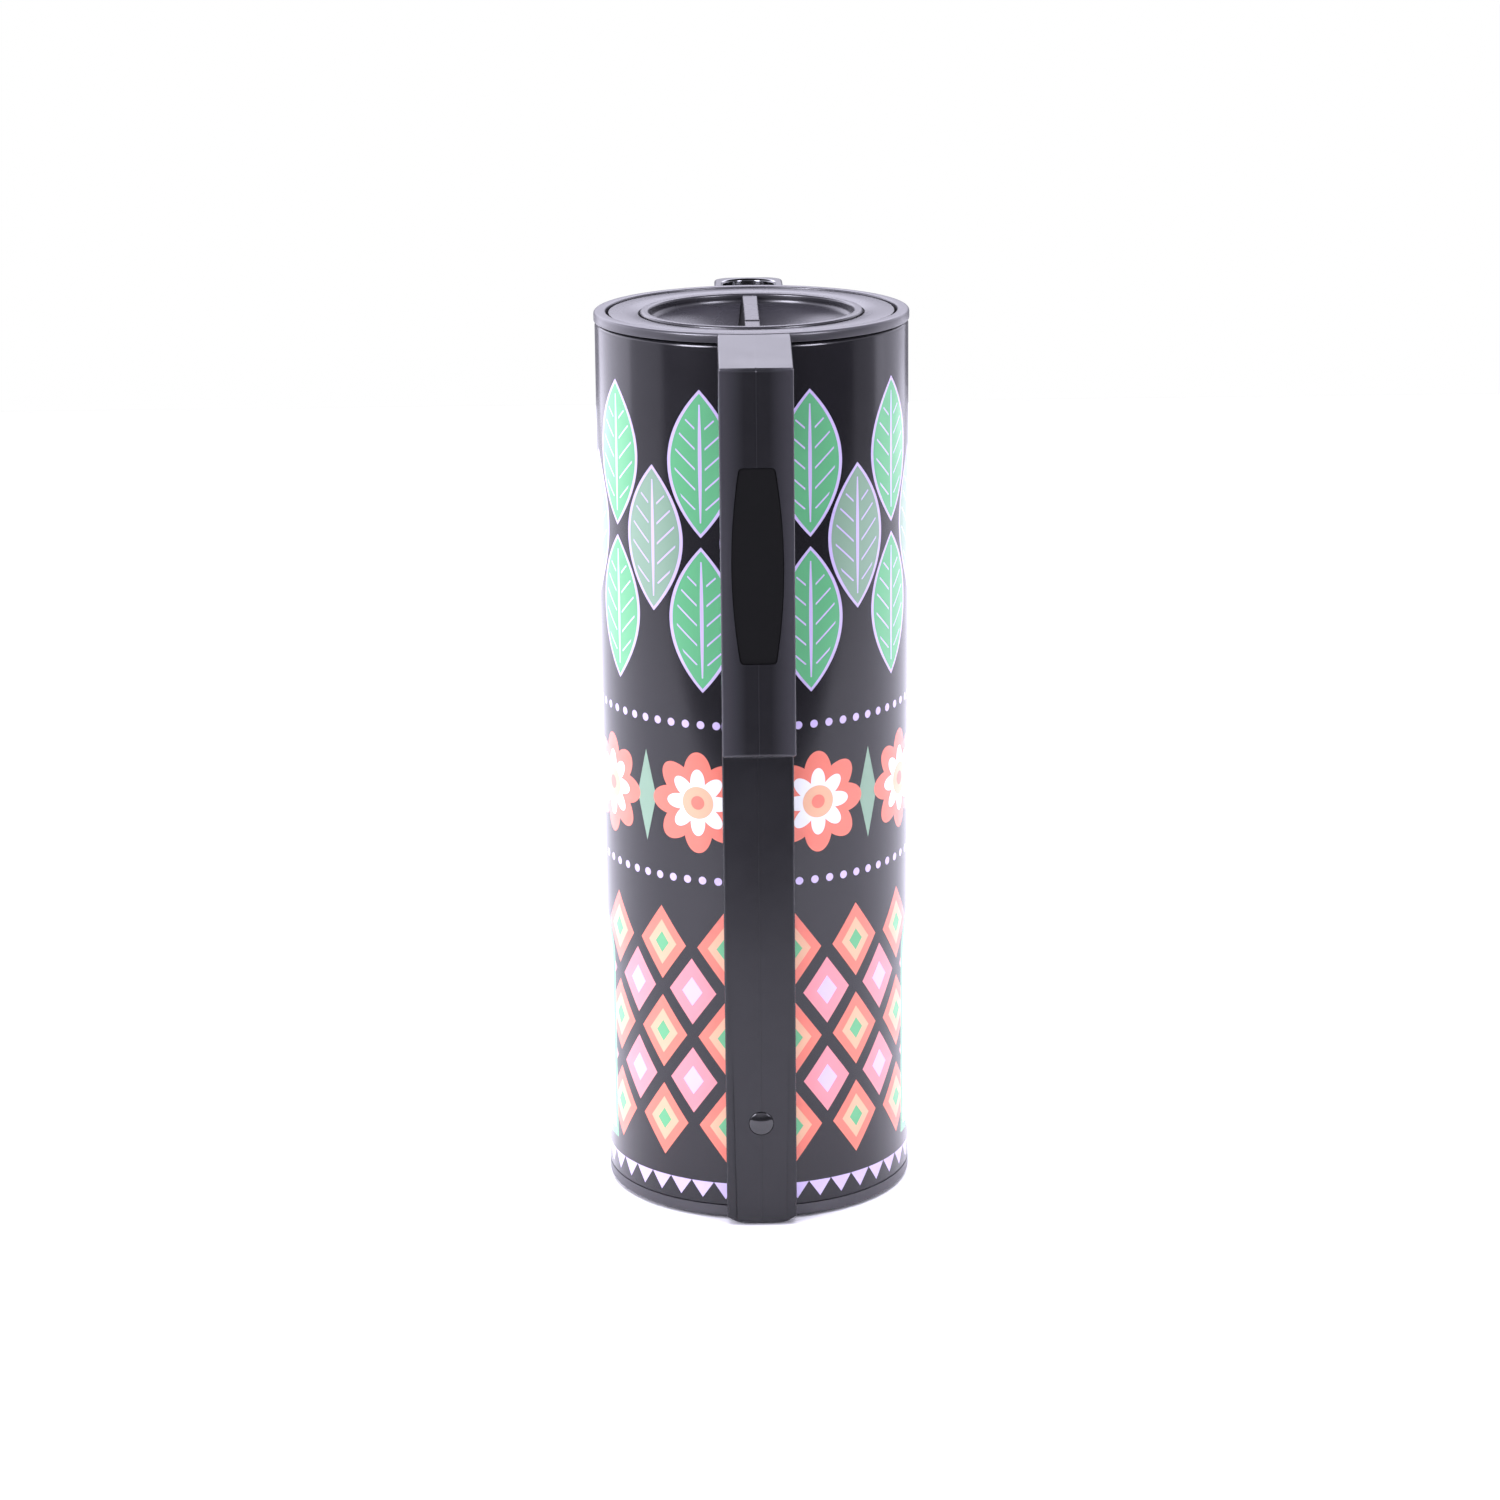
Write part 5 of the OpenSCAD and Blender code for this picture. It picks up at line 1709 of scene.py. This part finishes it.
@dataclass
class Spout:
    """Bright cup-shaped spout with a rounded lip and a nozzle under it."""

    half: float = 15.15
    tip: float = 96.35
    top: float = 384.4
    low: float = 347.2
    floor: float = 350.2
    taper: float = 0.84
    bend: float = 8.0
    wall: float = 4.0
    back_wall: float = 4.1
    shell_seat: float = 66.5
    ring_seat: float = 67.05
    ring_low: float = 381.35
    seat_slack: float = 0.3
    nozzle_y: float = 78.8
    nozzle_low: float = 338.2
    nozzle_r: float = 6.2
    nozzle_sink: float = 0.6
    nozzle_edge: float = 0.8
    nozzle_in_edge: float = 0.5
    nozzle_steps: int = 64
    bore_r: float = 4.0
    bore_floors: float = 3.0
    funnel_r: float = 7.0
    inlet_z: float = 354.0
    inlet_r: float = 3.0
    inlet_over: float = 4.0
    lip: float = 1.1
    under_edge: float = 1.5
    under_slack: float = 0.1
    under_from: float = 69.0
    hollow_over: float = 2.0
    hair: float = 0.05
    steps: int = 14
    back_cuts: int = 11

    def block(self, shrink: float, bend: float, root: float, low: float, high: float) -> bmesh.types.BMesh:
        """Models a closed block with a rounded end that narrows downwards.

        Args:
            shrink: How far its sides lie inside the spout's outside.
            bend: Radius of its end's corners.
            root: Where it starts on the pot's side.
            low: Height of its underside.
            high: Height of its top.

        Returns:
            The block.
        """
        half, tip = self.half - shrink, self.tip - shrink
        bm = bmesh.new()
        draw(bm, [Corner(-half, root), Corner(-half, tip, bend, self.steps),
                  Corner(half, tip, bend, self.steps), Corner(half, root)], Plane.XY, level=high)
        back = [e for e in bm.edges if all(abs(v.co.y - root * MM) < TOUCH for v in e.verts)]
        bmesh.ops.subdivide_edges(bm, edges=back, cuts=self.back_cuts)
        bmesh.ops.contextual_create(bm, geom=bm.edges[:])
        draw_out(bm, (0, 0, low - high))
        for vert in bm.verts:
            scale = 1.0 - (1.0 - self.taper) * (self.top - vert.co.z / MM) / (self.top - self.low)
            vert.co.x *= scale
            vert.co.y = SHELL_R * MM + (vert.co.y - SHELL_R * MM) * scale
        close(bm)
        return bm

    def drill(self, radius: float, middle: Place, depth: float, end_radius: float | None = None,
              flat: bool = False) -> bmesh.types.BMesh:
        """Shape of a bore or a funnel.

        Args:
            radius: Radius at its start.
            middle: Its middle.
            depth: Its length.
            end_radius: Radius at its end, or None where that is the same.
            flat: Whether it runs along Y and not along Z.

        Returns:
            The closed shape.
        """
        bm = bmesh.new()
        place = Matrix.Translation(metres(middle))
        if flat:
            place = place @ Matrix.Rotation(QUARTER_TURN, 4, "X")
        rod(bm, radius, depth, place, end_radius)
        return bm

    def under_rim(self, edge: bmesh.types.BMEdge) -> bool:
        """Tells whether an edge lies round the cup's underside, clear of the pot.

        Args:
            edge: The edge.

        Returns:
            True round the underside.
        """
        low = (self.low + self.under_slack) * MM
        return all(v.co.z < low and v.co.y > self.under_from * MM for v in edge.verts)

    def build_cup(self) -> bpy.types.Object:
        """Models the cup with its bores and its rounded lip.

        Returns:
            The piece.
        """
        bm = self.block(0.0, self.bend, self.shell_seat, self.low, self.top)
        soften(bm, sharp_edges(bm, 50.0, self.under_rim), self.under_edge, steps=4, clamp=False)
        slice_at(bm, (0, 0, self.ring_low), (0, 0, 1))
        for vert in bm.verts:
            if vert.co.y < (self.shell_seat + self.seat_slack) * MM:
                seat = self.ring_seat if vert.co.z > self.ring_low * MM - TOUCH else self.shell_seat
                vert.co.y = math.sqrt((seat * MM) ** 2 - vert.co.x ** 2)
        piece = settle(bm, "spout_cup", Finishes.SPOUT, angle=35.0)
        # Second slot holds the darker plate for the inside: painted shade
        piece.data.materials.append(Finishes.SHADED_CUP.value.material())
        self.hollow_out(piece)
        top = (self.top - self.hair) * MM
        round_rims(piece, lambda e: all(v.co.z > top for v in e.verts), self.lip, steps=4, angle=35.0,
                   clamp=False)
        even_out(piece)
        return join_frame(piece, Body.POT, Slot.SPOUT, "spout")

    def hollow_out(self, piece: bpy.types.Object) -> None:
        """Cuts the cup's inside, its outlet with a funnel, and its inlet.

        Args:
            piece: The cup.
        """
        hollow = self.block(self.wall, self.half - self.wall - self.hair, SHELL_R + self.back_wall,
                            self.floor, self.top + self.hollow_over)
        # The hollow's faces take the darker plate: painted shade inside the cup
        for face in hollow.faces:
            face.material_index = 1
        deep = self.floor - self.low
        funnel = (0, self.nozzle_y, self.low + deep / 2 + self.hair)
        inlet = (0, SHELL_R + self.back_wall / 2, self.inlet_z)
        carve(piece, hollow)
        carve(piece, self.drill(self.bore_r, (0, self.nozzle_y, self.low), self.bore_floors * deep))
        carve(piece, self.drill(self.bore_r, funnel, deep, self.funnel_r))
        carve(piece, self.drill(self.inlet_r, inlet, self.back_wall + self.inlet_over, flat=True))

    def build_nozzle(self) -> bpy.types.Object:
        """Models the short pipe under the cup.

        Returns:
            The piece.
        """
        bm = bmesh.new()
        high = self.low + self.nozzle_sink
        draw(bm, [Corner(self.nozzle_r, high),
                  Corner(self.nozzle_r, self.nozzle_low, self.nozzle_edge, steps=4),
                  Corner(self.bore_r, self.nozzle_low, self.nozzle_in_edge, steps=3),
                  Corner(self.bore_r, high)], Plane.XZ)
        turn(bm, self.nozzle_steps)
        bmesh.ops.translate(bm, verts=bm.verts, vec=metres((0, self.nozzle_y, 0)))
        return join_frame(settle(bm, "spout_nozzle", Finishes.SPOUT), Body.POT, Slot.SPOUT)

    def build(self) -> list[str]:
        """Models the spout's pieces."""
        return [self.build_cup().name, self.build_nozzle().name]

    def dress(self) -> list[str]:
        """Gives the CAD nodes their finishes."""
        return dress_nodes(Finishes.RUBBER, "spout_seal") + dress_nodes(Finishes.STEEL, "spout_screws")


@dataclass
class AirPump:
    """Pump unit under the press plate, with its bellows and return spring."""

    bellows_low: float = 341.5
    bellows_high: float = 365.7
    bellows_in: float = 31.0
    fold_depth: float = 10.0
    folds: int = 4
    wall: float = 1.3
    fold_round: float = 1.1
    bellows_steps: int = 96
    stroke: float = 15.0
    spring_low: float = 308.05
    spring_high: float = 365.65
    spring_r: float = 12.0
    wire_r: float = 0.9
    wire_sides: int = 12
    turns: int = 7
    turn_steps: int = 28

    def build_bellows(self) -> bpy.types.Object:
        """Models the bellows with rounded folds.

        Returns:
            The piece.
        """
        height = self.bellows_high - self.bellows_low
        last = 2 * self.folds
        rise = height / last
        outer = [Corner(self.bellows_in + (i % 2) * self.fold_depth, self.bellows_low + rise * i,
                        0.0 if i in (0, last) else self.fold_round) for i in range(last + 1)]
        inner = [Corner(corner.a - self.wall, corner.b, corner.round) for corner in outer]
        bm = bmesh.new()
        draw(bm, outer + inner[::-1], Plane.XZ)
        turn(bm, self.bellows_steps)
        piece = settle(bm, "bellows_folds", Finishes.SILICONE, angle=50.0)
        join_frame(piece, Body.PUMP, Slot.SILICONE, "bellows")
        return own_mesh(piece)

    def build_spring(self) -> bpy.types.Object:
        """Models the coil of the return spring.

        Returns:
            The piece.
        """
        bm = bmesh.new()
        bmesh.ops.create_circle(bm, segments=self.wire_sides, radius=self.wire_r * MM)
        lay_at(bm, (self.spring_r, 0, self.spring_low + self.wire_r))
        steps = self.turns * self.turn_steps
        rise = (self.spring_high - self.spring_low - 2 * self.wire_r) / steps
        sweep(bm, (0, 0, rise), steps, self.turns * FULL_TURN)
        piece = settle(bm, "spring_coil", Finishes.STEEL, angle=50.0)
        join_frame(piece, Body.PUMP, Slot.STEEL, "return_spring")
        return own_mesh(piece)

    def build(self) -> list[str]:
        """Models the pump's soft and wound pieces."""
        return [self.build_bellows().name, self.build_spring().name]

    def dress(self) -> list[str]:
        """Gives the CAD nodes their finishes."""
        return (dress_nodes(Finishes.PUMP, "pump_housing", "guide_bush", "foot_valve", "bellows_retainer",
                            "bellows_clamp")
                + dress_nodes(Finishes.TUBE, "outlet_pipe", "riser_tube")
                + dress_nodes(Finishes.SILICONE, "stopper_seal") + dress_nodes(Finishes.RUBBER, "port_seal")
                + dress_nodes(Finishes.STEEL, "foot_ball"))


@dataclass
class Flask:
    """Vacuum liner with its cushion, spacer and neck gasket."""

    def build(self) -> list[str]:
        """Models nothing new, because the CAD nodes show all of it."""
        return []

    def dress(self) -> list[str]:
        """Gives the CAD nodes their finishes."""
        return (dress_nodes(Finishes.GLASS, "liner_outer_glass", "liner_inner_glass")
                + dress_nodes(Finishes.RUBBER, "liner_cushion") + dress_nodes(Finishes.FOAM, "liner_spacer")
                + dress_nodes(Finishes.SILICONE, "neck_gasket"))


def main() -> None:
    """Builds the stage and the pot's sub-assemblies in order."""
    logging.basicConfig(level=logging.INFO, format="%(name)s: %(message)s")
    LOG.info("stage: %s", ", ".join(Studio().build()))
    for assembly in (Casing(), PressTop(), Handle(), Spout(), AirPump(), Flask()):
        for name in assembly.build():
            LOG.info("%s modelled %s", type(assembly).__name__, name)
        for name in assembly.dress():
            LOG.info("%s dressed %s", type(assembly).__name__, name)


if __name__ == "__main__":
    main()
